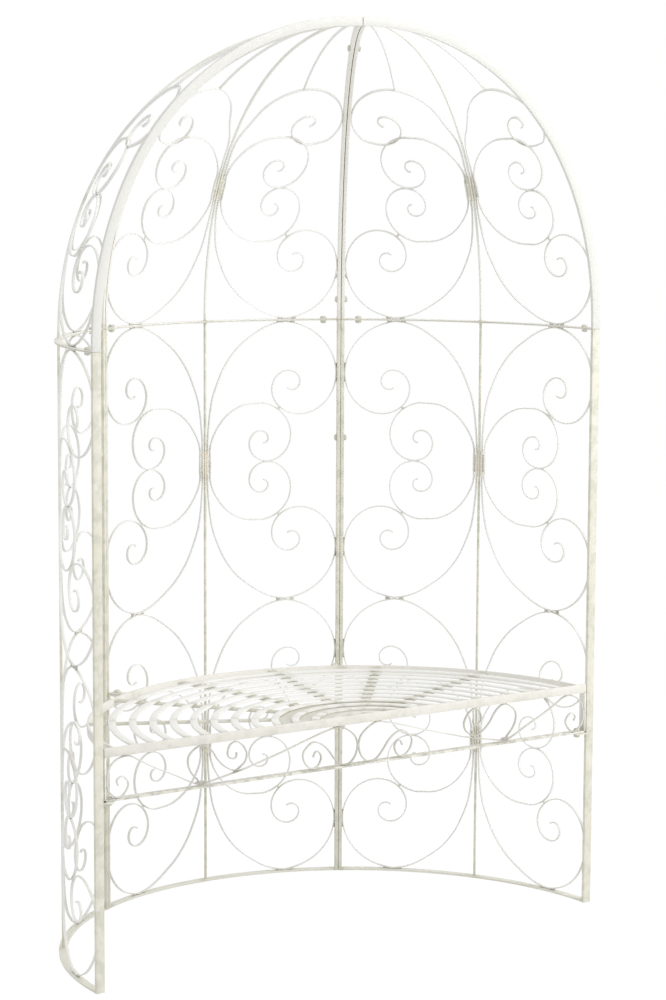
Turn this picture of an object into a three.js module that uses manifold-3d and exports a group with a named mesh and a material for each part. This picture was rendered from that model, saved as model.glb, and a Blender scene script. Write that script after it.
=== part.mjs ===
import * as THREE from 'three';
import { mergeVertices } from 'three/addons/utils/BufferGeometryUtils.js';
import Module from 'manifold-3d';

const wasm = await Module();
wasm.setup();

// Garden arbour seat: three curved openwork panels, three dome gores over them,
// a half-round slatted seat and a scrolled apron. Lengths are in millimetres.
// +X is to the right, +Y to the back, +Z up.

// Overall frame
const frameRadius = 600;
const railHeight = 1222;
const domeHeight = 626;
const domeFullness = 2.12;
const panelDegrees = 60;
const contactGap = 0.3;
const weldOverlap = 1;
const cutOverrun = 5;

// Flat bars of the frames
const barDepth = 18;
const edgeBarWidth = 7.5;
const baseRailThickness = 4;
const ringRailThickness = 2;
const railOuterSetback = 0.5;
const railInnerSetback = 1;
const midBarWidth = 4;
const ribGap = 0.8;

// Scroll strips, measured across and through the panel
const stripWidth = 2.6;
const stripDepth = 5.5;
const beadWidth = 8;
const beadDepth = 4.5;

// Knots, where the strips of a unit lie side by side
const knotHalfLength = 52;
const knotWeldHalfLength = 40;
const knotGap = 3.4;
const innerKnotHalfLength = 14;
const domeKnotDegrees = 27;
const domeSpanDegrees = 24.2;
const domeInnerSpanDegrees = 27.3;
const domeInnerReachShare = 0.92;
const sideRodShare = 0.26;

// Seat
const seatHeight = 474;
const seatBarHeight = 18;
const seatBarThickness = 5;
const seatCentreOffset = 47;
const rimEndSetback = 20;
const slatRimGap = 42;
const lastSlatRadius = 80;
const slatWidth = 15;
const slatThickness = 4;
const slatCount = 12;
const supportWidth = 18;
const supportThickness = 4;
const supportCount = 6;
const hubRadius = 165;
const postClearance = 2;

// Seat tabs and the lugs that carry the seat and the apron
const tabThickness = 4;
const tabDrop = 9;
const tabEndGap = 4;
const lugLength = 25;
const lugWidth = 18;
const lugThickness = 4;
const lugBoltInset = 8;
const lugBoltSetback = 11.5;

// Apron
const apronClearHeight = 82;
const apronBarThickness = 4;
const apronBarDepth = 18;
const apronUprightThickness = 4;
const apronWeldWidth = 5;

// Bolts
const shankRadius = 3;
const holeClearance = 0.6;
const headRadius = 7;
const headHeight = 5;
const headCrownShare = 0.6;
const nutRadius = 6.5;
const nutHeight = 6;
const railBoltOffset = 38;
const ribBoltHeights = [324, 965];
const domeBoltDegrees = [4, 66];

// Steps along curves
const railSteps = 6;
const domeSteps = 12;
const seatSteps = 12;
const slatStepLength = 150;
const fewestSlatSteps = 8;
const sideRodSteps = 7;
const boltSides = 6;
const spiralSpacing = 1.3;
const searchDegrees = 0.1;

// Sizes worked out from the ones above
const rightRib = panelDegrees;
const leftRib = 2 * panelDegrees;
const leftPost = 3 * panelDegrees;
const halfPanel = THREE.MathUtils.degToRad(panelDegrees / 2);
const ribHalfGap = ribGap / 2;
const frameFront = ribHalfGap;
const barInnerRadius = frameRadius - barDepth;
const middleRadius = frameRadius - barDepth / 2;
const railOuterRadius = frameRadius - railOuterSetback;
const railInnerRadius = barInnerRadius + railInnerSetback;
const domeMiddleHeight = domeHeight - barDepth / 2;
const domeBase = railHeight + contactGap;
const domeDegreeLength = THREE.MathUtils.degToRad((middleRadius + domeMiddleHeight) / 2);
const stripReach = contactGap + stripWidth / 2;
const outerStemOffset = midBarWidth / 2 + knotGap + stripWidth / 2;
const innerStemOffset = outerStemOffset + stripWidth + knotGap;
const weldBite = stripWidth / 2 - weldOverlap;
const knotWelds = [
  {
    from: midBarWidth / 2 + contactGap,
    to: outerStemOffset - weldBite,
    half: knotWeldHalfLength,
  },
  {
    from: outerStemOffset + weldBite,
    to: innerStemOffset - weldBite,
    half: innerKnotHalfLength,
  },
];
const unitHeight = (railHeight - baseRailThickness - ringRailThickness) / 2;
const unitReach = unitHeight / 2 - stripReach;
const panelReach = middleRadius * halfPanel - ribHalfGap - edgeBarWidth - stripReach;
const domeKnotArc = domeKnotDegrees * domeDegreeLength;
const domeSpan = domeSpanDegrees * domeDegreeLength;
const domeInnerSpan = domeInnerSpanDegrees * domeDegreeLength;
const domeInnerReach = domeInnerReachShare * panelReach;
const domeLowerReach = domeKnotArc - ringRailThickness - stripReach;
const sideRodDegrees = panelDegrees * sideRodShare;
const rimRadius = Math.hypot(barInnerRadius - rimEndSetback, seatCentreOffset);
const rimInnerRadius = rimRadius - seatBarThickness;
const firstSlatRadius = rimRadius - slatRimGap;
const slatPitch = (firstSlatRadius - lastSlatRadius) / (slatCount - 1);
const supportPitch = leftPost / (supportCount + 1);
const seatBarBottom = seatHeight - seatBarHeight;
const seatBarBack = frameFront + seatBarThickness;
const seatBarHalfLength = barInnerRadius - postClearance;
const supportTop = seatHeight - slatThickness - contactGap;
const tabTop = seatHeight - tabDrop;
const seatLugTop = tabTop - tabThickness - contactGap;
const apronBarTop = seatBarBottom - apronClearHeight;
const apronLugTop = apronBarTop - apronBarThickness - contactGap;
const lugBoltRadius = barInnerRadius - lugLength + lugBoltInset;
const lugBoltShift = ribHalfGap + lugBoltSetback;

// Half of the large C of a unit, from the knot to the end of its spiral, as shares
// of the unit's half width and half height
const outerShares = {
  stem: [
    [0.056, 0.446], [0.102, 0.574], [0.158, 0.689], [0.257, 0.815],
    [0.355, 0.892], [0.454, 0.954], [0.549, 0.990],
  ],
  centre: [0.674, 0.557],
  startRadius: 0.446,
  endRadius: 0.045,
  startDegrees: 96,
  sweepDegrees: 590,
  tightening: 2.27,
};

// Half of the small C that lies between the large C and its mirror image
const innerShares = {
  stem: [[0.040, 0.102], [0.069, 0.197], [0.168, 0.331], [0.301, 0.407]],
  centre: [0.461, 0.154],
  startRadius: 0.266,
  endRadius: 0.022,
  startDegrees: 91,
  sweepDegrees: 540,
  tightening: 1.61,
};

// Upper half of the large C in a dome gore, which bends over at its side rod
const crownShares = {
  stem: [
    [0.035, 0.439], [0.094, 0.604], [0.165, 0.800], [0.262, 0.920],
    [0.400, 0.996], [0.560, 0.976], [0.729, 0.851], [0.823, 0.694],
    [0.846, 0.570], [0.800, 0.450],
  ],
  centre: [0.594, 0.612],
  startRadius: 0.235,
  endRadius: 0.030,
  startDegrees: -58,
  sweepDegrees: 380,
  tightening: 2,
};

// Rods of one half of the apron, from the centre line outwards, as shares of the
// apron's half length and of its clear height
const apronShares = [
  [
    [0.956, 0.29], [0.962, 0.42], [0.942, 0.51], [0.926, 0.43], [0.917, 0.30],
    [0.926, 0.15], [0.942, 0.03], [0.958, 0.00], [0.976, 0.06], [0.994, 0.22],
    [1.000, 0.40], [0.996, 0.60], [0.986, 0.78], [0.963, 0.93], [0.930, 1.00],
    [0.906, 0.97], [0.875, 0.84], [0.808, 0.58], [0.750, 0.39], [0.684, 0.15],
    [0.648, 0.03],
  ],
  [
    [0.640, 0.04], [0.651, 0.16], [0.674, 0.34], [0.687, 0.55], [0.685, 0.77],
    [0.655, 0.96], [0.628, 1.00], [0.605, 0.91], [0.589, 0.79], [0.570, 0.58],
    [0.540, 0.38], [0.503, 0.26], [0.480, 0.34], [0.462, 0.45], [0.455, 0.62],
    [0.462, 0.77], [0.480, 0.92], [0.499, 0.98], [0.520, 0.93], [0.529, 0.82],
    [0.531, 0.66], [0.517, 0.57], [0.499, 0.58], [0.496, 0.71],
  ],
  [
    [0.632, 0.03], [0.462, 0.27], [0.409, 0.37], [0.340, 0.50], [0.272, 0.64],
    [0.203, 0.79], [0.120, 0.95], [0.076, 1.00], [0.051, 0.93], [0.027, 0.82],
    [0.008, 0.68], [0.000, 0.49], [0.003, 0.31], [0.014, 0.15], [0.032, 0.03],
    [0.056, 0.00], [0.081, 0.08], [0.102, 0.24], [0.124, 0.45], [0.148, 0.60],
    [0.173, 0.68], [0.187, 0.69], [0.206, 0.61], [0.226, 0.45], [0.224, 0.26],
    [0.206, 0.08], [0.185, 0.02], [0.164, 0.08], [0.152, 0.30], [0.168, 0.45],
    [0.180, 0.40], [0.185, 0.30],
  ],
];
const apronWeldShares = [
  [[0.662, 0.06], [0.630, 0.06]],
  [[0.503, 0.29], [0.503, 0.18]],
];

// Solids
function solidOf(geometry) {
  const bare = geometry.clone();
  bare.deleteAttribute('normal');
  bare.deleteAttribute('uv');
  const merged = mergeVertices(bare);
  return new wasm.Manifold(new wasm.Mesh({
    numProp: 3,
    vertProperties: new Float32Array(merged.attributes.position.array),
    triVerts: new Uint32Array(merged.index.array),
  }));
}

function geometryOf(solid) {
  const mesh = solid.getMesh();
  const geometry = new THREE.BufferGeometry();
  geometry.setAttribute('position', new THREE.BufferAttribute(mesh.vertProperties, 3));
  geometry.setIndex(new THREE.BufferAttribute(mesh.triVerts, 1));
  geometry.computeVertexNormals();
  return geometry;
}

function joined(solids) {
  return solids.reduce((sum, solid) => sum.add(solid));
}

function cut(solid, tools) {
  return tools.reduce((rest, tool) => rest.subtract(tool), solid);
}

// A box between two opposite corners, turned about the axis of the seat
function boxBetween(low, high, degrees = 0) {
  const size = new THREE.Vector3().subVectors(high, low);
  const centre = new THREE.Vector3().addVectors(high, low).multiplyScalar(0.5);
  const geometry = new THREE.BoxGeometry(size.x, size.y, size.z);
  geometry.translate(centre.x, centre.y, centre.z);
  geometry.rotateZ(THREE.MathUtils.degToRad(degrees));
  return solidOf(geometry);
}

// A plane outline raised along Z
function raised(shape, height, bottom, steps) {
  const geometry = new THREE.ExtrudeGeometry(shape, {
    depth: height,
    bevelEnabled: false,
    curveSegments: steps,
  });
  geometry.translate(0, 0, bottom);
  return solidOf(geometry);
}

function arcBand(outer, inner, fromDegrees, toDegrees, height, bottom) {
  const from = THREE.MathUtils.degToRad(fromDegrees);
  const to = THREE.MathUtils.degToRad(toDegrees);
  const shape = new THREE.Shape();
  shape.absarc(0, 0, outer, from, to, false);
  shape.absarc(0, 0, inner, to, from, true);
  return raised(shape, height, bottom, railSteps);
}

// Seat rings, which share a centre in front of the axis and start and end on the
// straight line y = back
function halfRing(outer, inner, back, height, bottom, steps) {
  const rise = back + seatCentreOffset;
  const outerStart = Math.asin(rise / outer);
  const innerStart = Math.asin(rise / inner);
  const shape = new THREE.Shape();
  shape.absarc(0, 0, outer, outerStart, Math.PI - outerStart, false);
  shape.absarc(0, 0, inner, Math.PI - innerStart, innerStart, true);
  return raised(shape, height, bottom, steps).translate([0, -seatCentreOffset, 0]);
}

function halfDisc(radius, back, height, bottom, steps, offset = 0) {
  const start = Math.asin((back + offset) / radius);
  const shape = new THREE.Shape();
  shape.absarc(0, 0, radius, start, Math.PI - start, false);
  return raised(shape, height, bottom, steps).translate([0, -offset, 0]);
}

// A closed strip through a row of four-cornered sections
function stripThrough(sections) {
  const positions = sections.flat().flatMap((corner) => [corner.x, corner.y, corner.z]);
  const faces = [];
  for (let step = 0; step < sections.length - 1; step += 1) {
    for (let side = 0; side < 4; side += 1) {
      const a = step * 4 + side;
      const b = step * 4 + ((side + 1) % 4);
      faces.push(a, b, b + 4, a, b + 4, a + 4);
    }
  }
  const last = (sections.length - 1) * 4;
  faces.push(0, 2, 1, 0, 3, 2);
  faces.push(last, last + 1, last + 2, last, last + 2, last + 3);
  const geometry = new THREE.BufferGeometry();
  geometry.setAttribute('position', new THREE.Float32BufferAttribute(positions, 3));
  geometry.setIndex(faces);
  return solidOf(geometry);
}

// A strip that follows places on a surface, each with its point and its normal
function stripAlong(places, width, depth) {
  const sections = places.map((place, index) => {
    const before = places[Math.max(index - 1, 0)].point;
    const after = places[Math.min(index + 1, places.length - 1)].point;
    const along = new THREE.Vector3().subVectors(after, before).normalize();
    const across = new THREE.Vector3().crossVectors(place.normal, along).normalize();
    const corner = (sideways, outwards) => place.point.clone()
      .addScaledVector(across, sideways * width / 2)
      .addScaledVector(place.normal, outwards * depth / 2);
    return [corner(-1, -1), corner(1, -1), corner(1, 1), corner(-1, 1)];
  });
  return stripThrough(sections);
}

// Surfaces. A place on a panel is an arc length from its middle line and a height, a
// place on a gore an arc length from its middle line and a length up its meridian.
function polar(radius, angle, height) {
  return new THREE.Vector3(radius * Math.cos(angle), radius * Math.sin(angle), height);
}

function panelPlace(middleDegrees, shift, height) {
  const angle = THREE.MathUtils.degToRad(middleDegrees) + shift / middleRadius;
  return { point: polar(middleRadius, angle, height), normal: polar(1, angle, 0) };
}

function domeProfile(radius, height, degrees) {
  const cos = Math.max(Math.cos(THREE.MathUtils.degToRad(degrees)), 0);
  const sin = Math.sin(THREE.MathUtils.degToRad(degrees));
  const sum = Math.pow(cos, domeFullness) + Math.pow(sin, domeFullness);
  const fullness = Math.pow(sum, -1 / domeFullness);
  return new THREE.Vector2(radius * fullness * cos, height * fullness * sin);
}

function domePlaceAt(angle, degrees) {
  const at = domeProfile(middleRadius, domeMiddleHeight, degrees);
  const power = domeFullness - 1;
  const outwards = Math.pow(at.x / middleRadius, power) / middleRadius;
  const upwards = Math.pow(at.y / domeMiddleHeight, power) / domeMiddleHeight;
  return {
    point: polar(at.x, angle, domeBase + at.y),
    normal: polar(outwards, angle, upwards).normalize(),
  };
}

function domePlace(middleDegrees, shift, rise) {
  const degrees = rise / domeDegreeLength;
  const at = domeProfile(middleRadius, domeMiddleHeight, degrees);
  return domePlaceAt(THREE.MathUtils.degToRad(middleDegrees) + shift / at.x, degrees);
}

function domeReach(rise) {
  const at = domeProfile(middleRadius, domeMiddleHeight, rise / domeDegreeLength);
  return at.x * halfPanel - ribHalfGap - edgeBarWidth - stripReach;
}

// Half a scroll in the plane of its panel: a stem from the knot, then a spiral
function halfScroll(shares, reach, span, offset, knotLength, stemSteps, spiralSteps) {
  const centre = new THREE.Vector2(shares.centre[0] * reach, shares.centre[1] * span);
  const spiral = [];
  for (let step = 0; step <= spiralSteps; step += 1) {
    const travel = Math.pow(step / spiralSteps, spiralSpacing);
    const fall = Math.pow(1 - travel, shares.tightening);
    const share = shares.endRadius + (shares.startRadius - shares.endRadius) * fall;
    const degrees = shares.startDegrees - shares.sweepDegrees * travel;
    const angle = THREE.MathUtils.degToRad(degrees);
    const arm = new THREE.Vector2(Math.cos(angle), Math.sin(angle));
    spiral.push(centre.clone().addScaledVector(arm, share * span));
  }
  const knots = shares.stem.map(([x, y]) => new THREE.Vector2(x * reach, y * span));
  const foot = new THREE.Vector2(offset, 0);
  const knotEnd = new THREE.Vector2(offset, knotLength);
  const path = [foot, knotEnd, ...knots, spiral[0]];
  const curve = new THREE.CatmullRomCurve3(
    path.map((point) => new THREE.Vector3(point.x, point.y, 0)), false, 'centripetal');
  const stem = curve.getSpacedPoints(stemSteps).map((p) => new THREE.Vector2(p.x, p.y));
  return [...stem.slice(0, -1), ...spiral];
}

// Widens or narrows half a scroll until it just reaches the bar beside it
function fittedAcross(points, offset, reachAt) {
  const free = points.filter((point) => point.x > offset + stripWidth);
  const scales = free.map((point) => (reachAt(point.y) - offset) / (point.x - offset));
  const scale = Math.min(...scales);
  return points.map((p) => new THREE.Vector2(offset + (p.x - offset) * scale, p.y));
}

// Raises or lowers half a scroll until its top just reaches the rail
function fittedUp(points, span) {
  const scale = span / Math.max(...points.map((point) => point.y));
  return points.map((point) => new THREE.Vector2(point.x, point.y * scale));
}

function mirrored(points) {
  return points.map((point) => new THREE.Vector2(point.x, -point.y));
}

// A whole C: the lower half turned back to front, then the upper half
function wholeScroll(lower, upper) {
  return [...mirrored(lower).reverse(), ...upper.slice(1)];
}

// The two points where halves of a large and a small C come closest, past their stems
function closestPoints(outer, inner) {
  const outerPoints = outer.slice(outerSteps.stem);
  const innerPoints = inner.slice(innerSteps.stem);
  const pairs = outerPoints.flatMap((a) => innerPoints.map((b) => [a, b]));
  return pairs.reduce((best, pair) => (
    pair[0].distanceTo(pair[1]) < best[0].distanceTo(best[1]) ? pair : best));
}

const outerSteps = { stem: 5, spiral: 11 };
const innerSteps = { stem: 3, spiral: 9 };
const crownSteps = { stem: 8, spiral: 7 };

function outerHalf(span, reachAt) {
  const points = halfScroll(outerShares, panelReach, span, outerStemOffset,
    knotHalfLength, outerSteps.stem, outerSteps.spiral);
  return fittedAcross(fittedUp(points, span), outerStemOffset, reachAt);
}

function innerHalf(reach, span) {
  return halfScroll(innerShares, reach, span, innerStemOffset,
    innerKnotHalfLength, innerSteps.stem, innerSteps.spiral);
}

function crownHalf(reachAt) {
  const points = halfScroll(crownShares, domeReach(domeKnotArc), domeSpan,
    outerStemOffset, knotHalfLength, crownSteps.stem, crownSteps.spiral);
  return fittedAcross(fittedUp(points, domeSpan), outerStemOffset, reachAt);
}

// The scroll pair on one side of a unit: large C, small C, two welds between them and
// the welds of the knot
function scrollPair(placeAt, outerHalves, innerHalves) {
  const strips = [outerHalves, innerHalves].map((halves) => {
    const path = wholeScroll(halves[0], halves[1]);
    return stripAlong(path.map((p) => placeAt(p.x, p.y)), stripWidth, stripDepth);
  });
  const welds = [-1, 1].map((way, index) => {
    const ends = closestPoints(outerHalves[index], innerHalves[index]);
    return stripAlong(ends.map((p) => placeAt(p.x, way * p.y)), beadWidth, beadDepth);
  });
  const fillers = knotWelds.map(({ from, to, half }) => {
    const places = [-half, 0, half].map((rise) => placeAt((from + to) / 2, rise));
    return stripAlong(places, to - from, beadDepth);
  });
  return joined([...strips, ...welds, ...fillers]);
}

function panelScrolls(middleDegrees, side, knotHeight) {
  const outer = outerHalf(unitReach, () => panelReach);
  const inner = innerHalf(panelReach, unitReach);
  const placeAt = (shift, rise) => panelPlace(middleDegrees, side * shift, knotHeight + rise);
  return scrollPair(placeAt, [outer, outer], [inner, inner]);
}

// How far up the meridian of the side rod the large C of a gore crosses it
function sideRodStart(points) {
  const turn = THREE.MathUtils.degToRad(sideRodDegrees);
  const rows = points.map((point) => {
    const degrees = (domeKnotArc + point.y) / domeDegreeLength;
    const at = domeProfile(middleRadius, domeMiddleHeight, degrees);
    return { degrees, lead: point.x / at.x - turn };
  });
  const index = rows.findIndex((row) => row.lead > 0);
  const [before, after] = [rows[index - 1], rows[index]];
  const share = before.lead / (before.lead - after.lead);
  return before.degrees + share * (after.degrees - before.degrees);
}

// The rod that rises from the top of a gore's large C towards the apex
function sideRod(middleDegrees, side, fromDegrees) {
  const turn = middleDegrees + side * sideRodDegrees;
  const angle = THREE.MathUtils.degToRad(turn);
  const clearance = ribHalfGap + edgeBarWidth + stripReach;
  const between = THREE.MathUtils.degToRad(panelDegrees / 2 - sideRodDegrees);
  const endRadius = clearance / Math.sin(between);
  const places = [];
  let toDegrees = fromDegrees;
  while (domeProfile(middleRadius, domeMiddleHeight, toDegrees).x > endRadius) {
    toDegrees += searchDegrees;
  }
  for (let step = 0; step <= sideRodSteps; step += 1) {
    const degrees = fromDegrees + (toDegrees - fromDegrees) * step / sideRodSteps;
    places.push(domePlaceAt(angle, degrees));
  }
  return stripAlong(places, stripWidth, stripDepth);
}

function domeScrolls(middleDegrees, side) {
  const lower = outerHalf(domeLowerReach, (rise) => domeReach(domeKnotArc - rise));
  const upper = crownHalf((rise) => domeReach(domeKnotArc + rise));
  const innerLower = innerHalf(panelReach, domeLowerReach);
  const innerUpper = innerHalf(domeInnerReach, domeInnerSpan);
  const placeAt = (shift, rise) => domePlace(middleDegrees, side * shift, domeKnotArc + rise);
  const pair = scrollPair(placeAt, [lower, upper], [innerLower, innerUpper]);
  return pair.add(sideRod(middleDegrees, side, sideRodStart(upper)));
}

// The wedge of space that a panel or gore fills between its neighbours
function wedge(startDegrees) {
  const shape = new THREE.Shape();
  const tip = ribHalfGap / Math.sin(halfPanel);
  const start = THREE.MathUtils.degToRad(startDegrees);
  const end = start + 2 * halfPanel;
  const apex = new THREE.Vector2(Math.cos(start + halfPanel), Math.sin(start + halfPanel));
  apex.multiplyScalar(tip);
  shape.moveTo(apex.x, apex.y);
  [start, end].forEach((angle) => {
    shape.lineTo(apex.x + 2 * frameRadius * Math.cos(angle),
      apex.y + 2 * frameRadius * Math.sin(angle));
  });
  return raised(shape, domeBase + domeHeight + 2 * cutOverrun, -cutOverrun, 1);
}

// Holes, as rods that run across a rib or up through a rail
function ribHole(boundaryDegrees, radius, height) {
  const length = 2 * (ribHalfGap + edgeBarWidth + cutOverrun);
  const reach = shankRadius + holeClearance;
  const geometry = new THREE.CylinderGeometry(reach, reach, length, boltSides);
  geometry.translate(radius, 0, height);
  geometry.rotateZ(THREE.MathUtils.degToRad(boundaryDegrees));
  return solidOf(geometry);
}

function uprightHole(x, y, bottom, top) {
  const reach = shankRadius + holeClearance;
  const length = top - bottom + 2 * cutOverrun;
  const geometry = new THREE.CylinderGeometry(reach, reach, length, boltSides);
  geometry.rotateX(Math.PI / 2);
  geometry.translate(x, y, (top + bottom) / 2);
  return solidOf(geometry);
}

// Where the rail bolts of a panel stand, seen from above
function railBoltSpots(startDegrees) {
  const offset = THREE.MathUtils.radToDeg(railBoltOffset / middleRadius);
  return [startDegrees + offset, startDegrees + panelDegrees - offset].map(
    (degrees) => polar(middleRadius, THREE.MathUtils.degToRad(degrees), 0));
}

function railHoles(startDegrees) {
  return railBoltSpots(startDegrees).map((spot) => uprightHole(
    spot.x, spot.y, railHeight - ringRailThickness, domeBase + ringRailThickness));
}

// A lug on the inside of an edge bar, and the spot of its bolt
function lugSpot(boundaryDegrees, side) {
  const spot = new THREE.Vector3(lugBoltRadius, side * lugBoltShift, 0);
  return spot.applyAxisAngle(new THREE.Vector3(0, 0, 1),
    THREE.MathUtils.degToRad(boundaryDegrees));
}

function lug(boundaryDegrees, side, top) {
  const near = side * ribHalfGap;
  const far = side * (ribHalfGap + lugWidth);
  const low = new THREE.Vector3(barInnerRadius - lugLength, Math.min(near, far),
    top - lugThickness);
  const high = new THREE.Vector3(barInnerRadius + weldOverlap, Math.max(near, far), top);
  const spot = lugSpot(boundaryDegrees, side);
  const hole = uprightHole(spot.x, spot.y, top - lugThickness, top);
  return boxBetween(low, high, boundaryDegrees).subtract(hole);
}

// Frames of the lower panels
function lowerEdgeBar(boundaryDegrees, side) {
  const near = side * ribHalfGap;
  const far = side * (ribHalfGap + edgeBarWidth);
  const low = new THREE.Vector3(barInnerRadius, Math.min(near, far), 0);
  const high = new THREE.Vector3(frameRadius, Math.max(near, far), railHeight);
  return boxBetween(low, high, boundaryDegrees);
}

function lowerMidBar(degrees) {
  const low = new THREE.Vector3(middleRadius - stripDepth / 2, -midBarWidth / 2,
    baseRailThickness - weldOverlap);
  const high = new THREE.Vector3(middleRadius + stripDepth / 2, midBarWidth / 2,
    railHeight - ringRailThickness + weldOverlap);
  return boxBetween(low, high, degrees);
}

function lowerPanelFrame(startDegrees, lugs, ribs) {
  const endDegrees = startDegrees + panelDegrees;
  const rail = (bottom, thickness) => arcBand(railOuterRadius, railInnerRadius,
    startDegrees, endDegrees, thickness, bottom);
  const bars = joined([
    lowerEdgeBar(startDegrees, 1),
    lowerEdgeBar(endDegrees, -1),
    lowerMidBar(startDegrees + panelDegrees / 2),
    rail(0, baseRailThickness),
    rail(railHeight - ringRailThickness, ringRailThickness),
  ]).intersect(wedge(startDegrees));
  const ribHoles = ribs.flatMap((degrees) => ribBoltHeights.map(
    (height) => ribHole(degrees, middleRadius, height)));
  return joined([cut(bars, [...railHoles(startDegrees), ...ribHoles]), ...lugs]);
}

// Frames of the dome gores
function meridianBand(outerDepth, innerDepth, width, degrees, shift) {
  const rows = Array.from({ length: domeSteps + 1 }, (_, step) => 90 * step / domeSteps);
  const line = (depth) => rows.map(
    (row) => domeProfile(frameRadius - depth, domeHeight - depth, row));
  const outline = [...line(outerDepth), ...line(innerDepth).reverse()];
  const geometry = new THREE.ExtrudeGeometry(new THREE.Shape(outline), {
    depth: width,
    bevelEnabled: false,
  });
  geometry.rotateX(Math.PI / 2);
  geometry.translate(0, shift + width / 2, domeBase);
  geometry.rotateZ(THREE.MathUtils.degToRad(degrees));
  return solidOf(geometry);
}

function domeEdgeBar(boundaryDegrees, side) {
  const shift = side * (ribHalfGap + edgeBarWidth / 2);
  return meridianBand(0, barDepth, edgeBarWidth, boundaryDegrees, shift);
}

function domeMidBar(degrees) {
  const middle = barDepth / 2;
  return meridianBand(middle - stripDepth / 2, middle + stripDepth / 2,
    midBarWidth, degrees, 0);
}

function domeFrame(startDegrees, ribs) {
  const endDegrees = startDegrees + panelDegrees;
  const bars = joined([
    domeEdgeBar(startDegrees, 1),
    domeEdgeBar(endDegrees, -1),
    domeMidBar(startDegrees + panelDegrees / 2),
    arcBand(railOuterRadius, railInnerRadius, startDegrees, endDegrees, ringRailThickness,
      domeBase),
  ]).intersect(wedge(startDegrees));
  const ribHoles = ribs.flatMap((degrees) => domeBoltDegrees.map((rise) => {
    const at = domeProfile(middleRadius, domeMiddleHeight, rise);
    return ribHole(degrees, at.x, domeBase + at.y);
  }));
  return cut(bars, [...railHoles(startDegrees), ...ribHoles]);
}

// Seat, with the reach of its rim from the axis in one direction
function rimReach(degrees) {
  const angle = THREE.MathUtils.degToRad(degrees);
  const across = seatCentreOffset * Math.cos(angle);
  return Math.sqrt(rimRadius ** 2 - across ** 2) - seatCentreOffset * Math.sin(angle);
}

function seatTab(boundaryDegrees, side) {
  const near = side * ribHalfGap;
  const far = side * (ribHalfGap + lugWidth);
  const low = new THREE.Vector3(rimReach(boundaryDegrees) - seatBarThickness / 2,
    Math.min(near, far), tabTop - tabThickness);
  const high = new THREE.Vector3(barInnerRadius - tabEndGap, Math.max(near, far), tabTop);
  const spot = lugSpot(boundaryDegrees, side);
  const hole = uprightHole(spot.x, spot.y, tabTop - tabThickness, tabTop);
  return boxBetween(low, high, boundaryDegrees).subtract(hole);
}

function seatFrame() {
  const low = new THREE.Vector3(-seatBarHalfLength, frameFront, seatBarBottom);
  const high = new THREE.Vector3(seatBarHalfLength, seatBarBack, seatHeight);
  const rim = halfRing(rimRadius, rimInnerRadius, seatBarBack - weldOverlap,
    seatBarHeight, seatBarBottom, seatSteps);
  return joined([boxBetween(low, high), rim, seatTab(rightRib, 1), seatTab(leftRib, -1)]);
}

function seatSlat(index) {
  const outer = firstSlatRadius - index * slatPitch;
  const steps = Math.max(Math.round(Math.PI * outer / slatStepLength), fewestSlatSteps);
  return halfRing(outer, outer - slatWidth, seatBarBack + contactGap,
    slatThickness, seatHeight - slatThickness, steps);
}

function seatSupports() {
  const bottom = supportTop - supportThickness;
  const back = seatBarBack + contactGap;
  const hub = halfDisc(hubRadius, back, supportThickness, bottom, railSteps);
  const room = halfDisc(rimInnerRadius - contactGap, back, supportThickness, bottom,
    seatSteps, seatCentreOffset);
  const arms = Array.from({ length: supportCount }, (_, arm) => {
    const low = new THREE.Vector3(hubRadius - supportWidth, -supportWidth / 2, bottom);
    const high = new THREE.Vector3(rimRadius, supportWidth / 2, supportTop);
    return boxBetween(low, high, supportPitch * (arm + 1));
  });
  return joined([hub, ...arms]).intersect(room);
}

// Apron under the front bar of the seat
function apronFrame() {
  const back = frameFront + apronBarDepth;
  const bottom = apronBarTop - apronBarThickness;
  const low = new THREE.Vector3(-seatBarHalfLength, frameFront, bottom);
  const high = new THREE.Vector3(seatBarHalfLength, back, apronBarTop);
  const uprights = [-1, 1].map((side) => {
    const near = side * (seatBarHalfLength - apronUprightThickness);
    const far = side * seatBarHalfLength;
    return boxBetween(
      new THREE.Vector3(Math.min(near, far), frameFront, bottom),
      new THREE.Vector3(Math.max(near, far), back, seatBarBottom - contactGap));
  });
  const holes = [lugSpot(0, 1), lugSpot(leftPost, -1)].map(
    (spot) => uprightHole(spot.x, spot.y, bottom, apronBarTop));
  return cut(joined([boxBetween(low, high), ...uprights]), holes);
}

function apronPlace(side, [along, up]) {
  const least = stripWidth / 2 + contactGap / 2;
  const most = seatBarHalfLength - apronUprightThickness - stripReach;
  const low = apronBarTop + stripReach;
  const high = seatBarBottom - stripReach;
  const x = side * (least + along * (most - least));
  const y = frameFront + seatBarThickness / 2;
  const point = new THREE.Vector3(x, y, low + up * (high - low));
  return { point, normal: new THREE.Vector3(0, -1, 0) };
}

function apronScrolls(side) {
  const rods = apronShares.map((shares) => stripAlong(
    shares.map((share) => apronPlace(side, share)), stripWidth, seatBarThickness));
  const welds = apronWeldShares.map((shares) => stripAlong(
    shares.map((share) => apronPlace(side, share)), apronWeldWidth,
    seatBarThickness - weldOverlap));
  return joined([...rods, ...welds]);
}

// Bolts with a crowned head above and a nut below, about the middle of their grip
function boltGeometry(grip) {
  const half = grip / 2 + contactGap;
  const profile = [
    [0, -half - nutHeight],
    [nutRadius, -half - nutHeight],
    [nutRadius, -half],
    [shankRadius, -half],
    [shankRadius, half],
    [headRadius, half],
    [headRadius * headCrownShare, half + headHeight],
    [0, half + headHeight],
  ].map(([radius, height]) => new THREE.Vector2(radius, height));
  return new THREE.LatheGeometry(profile, boltSides);
}

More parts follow.
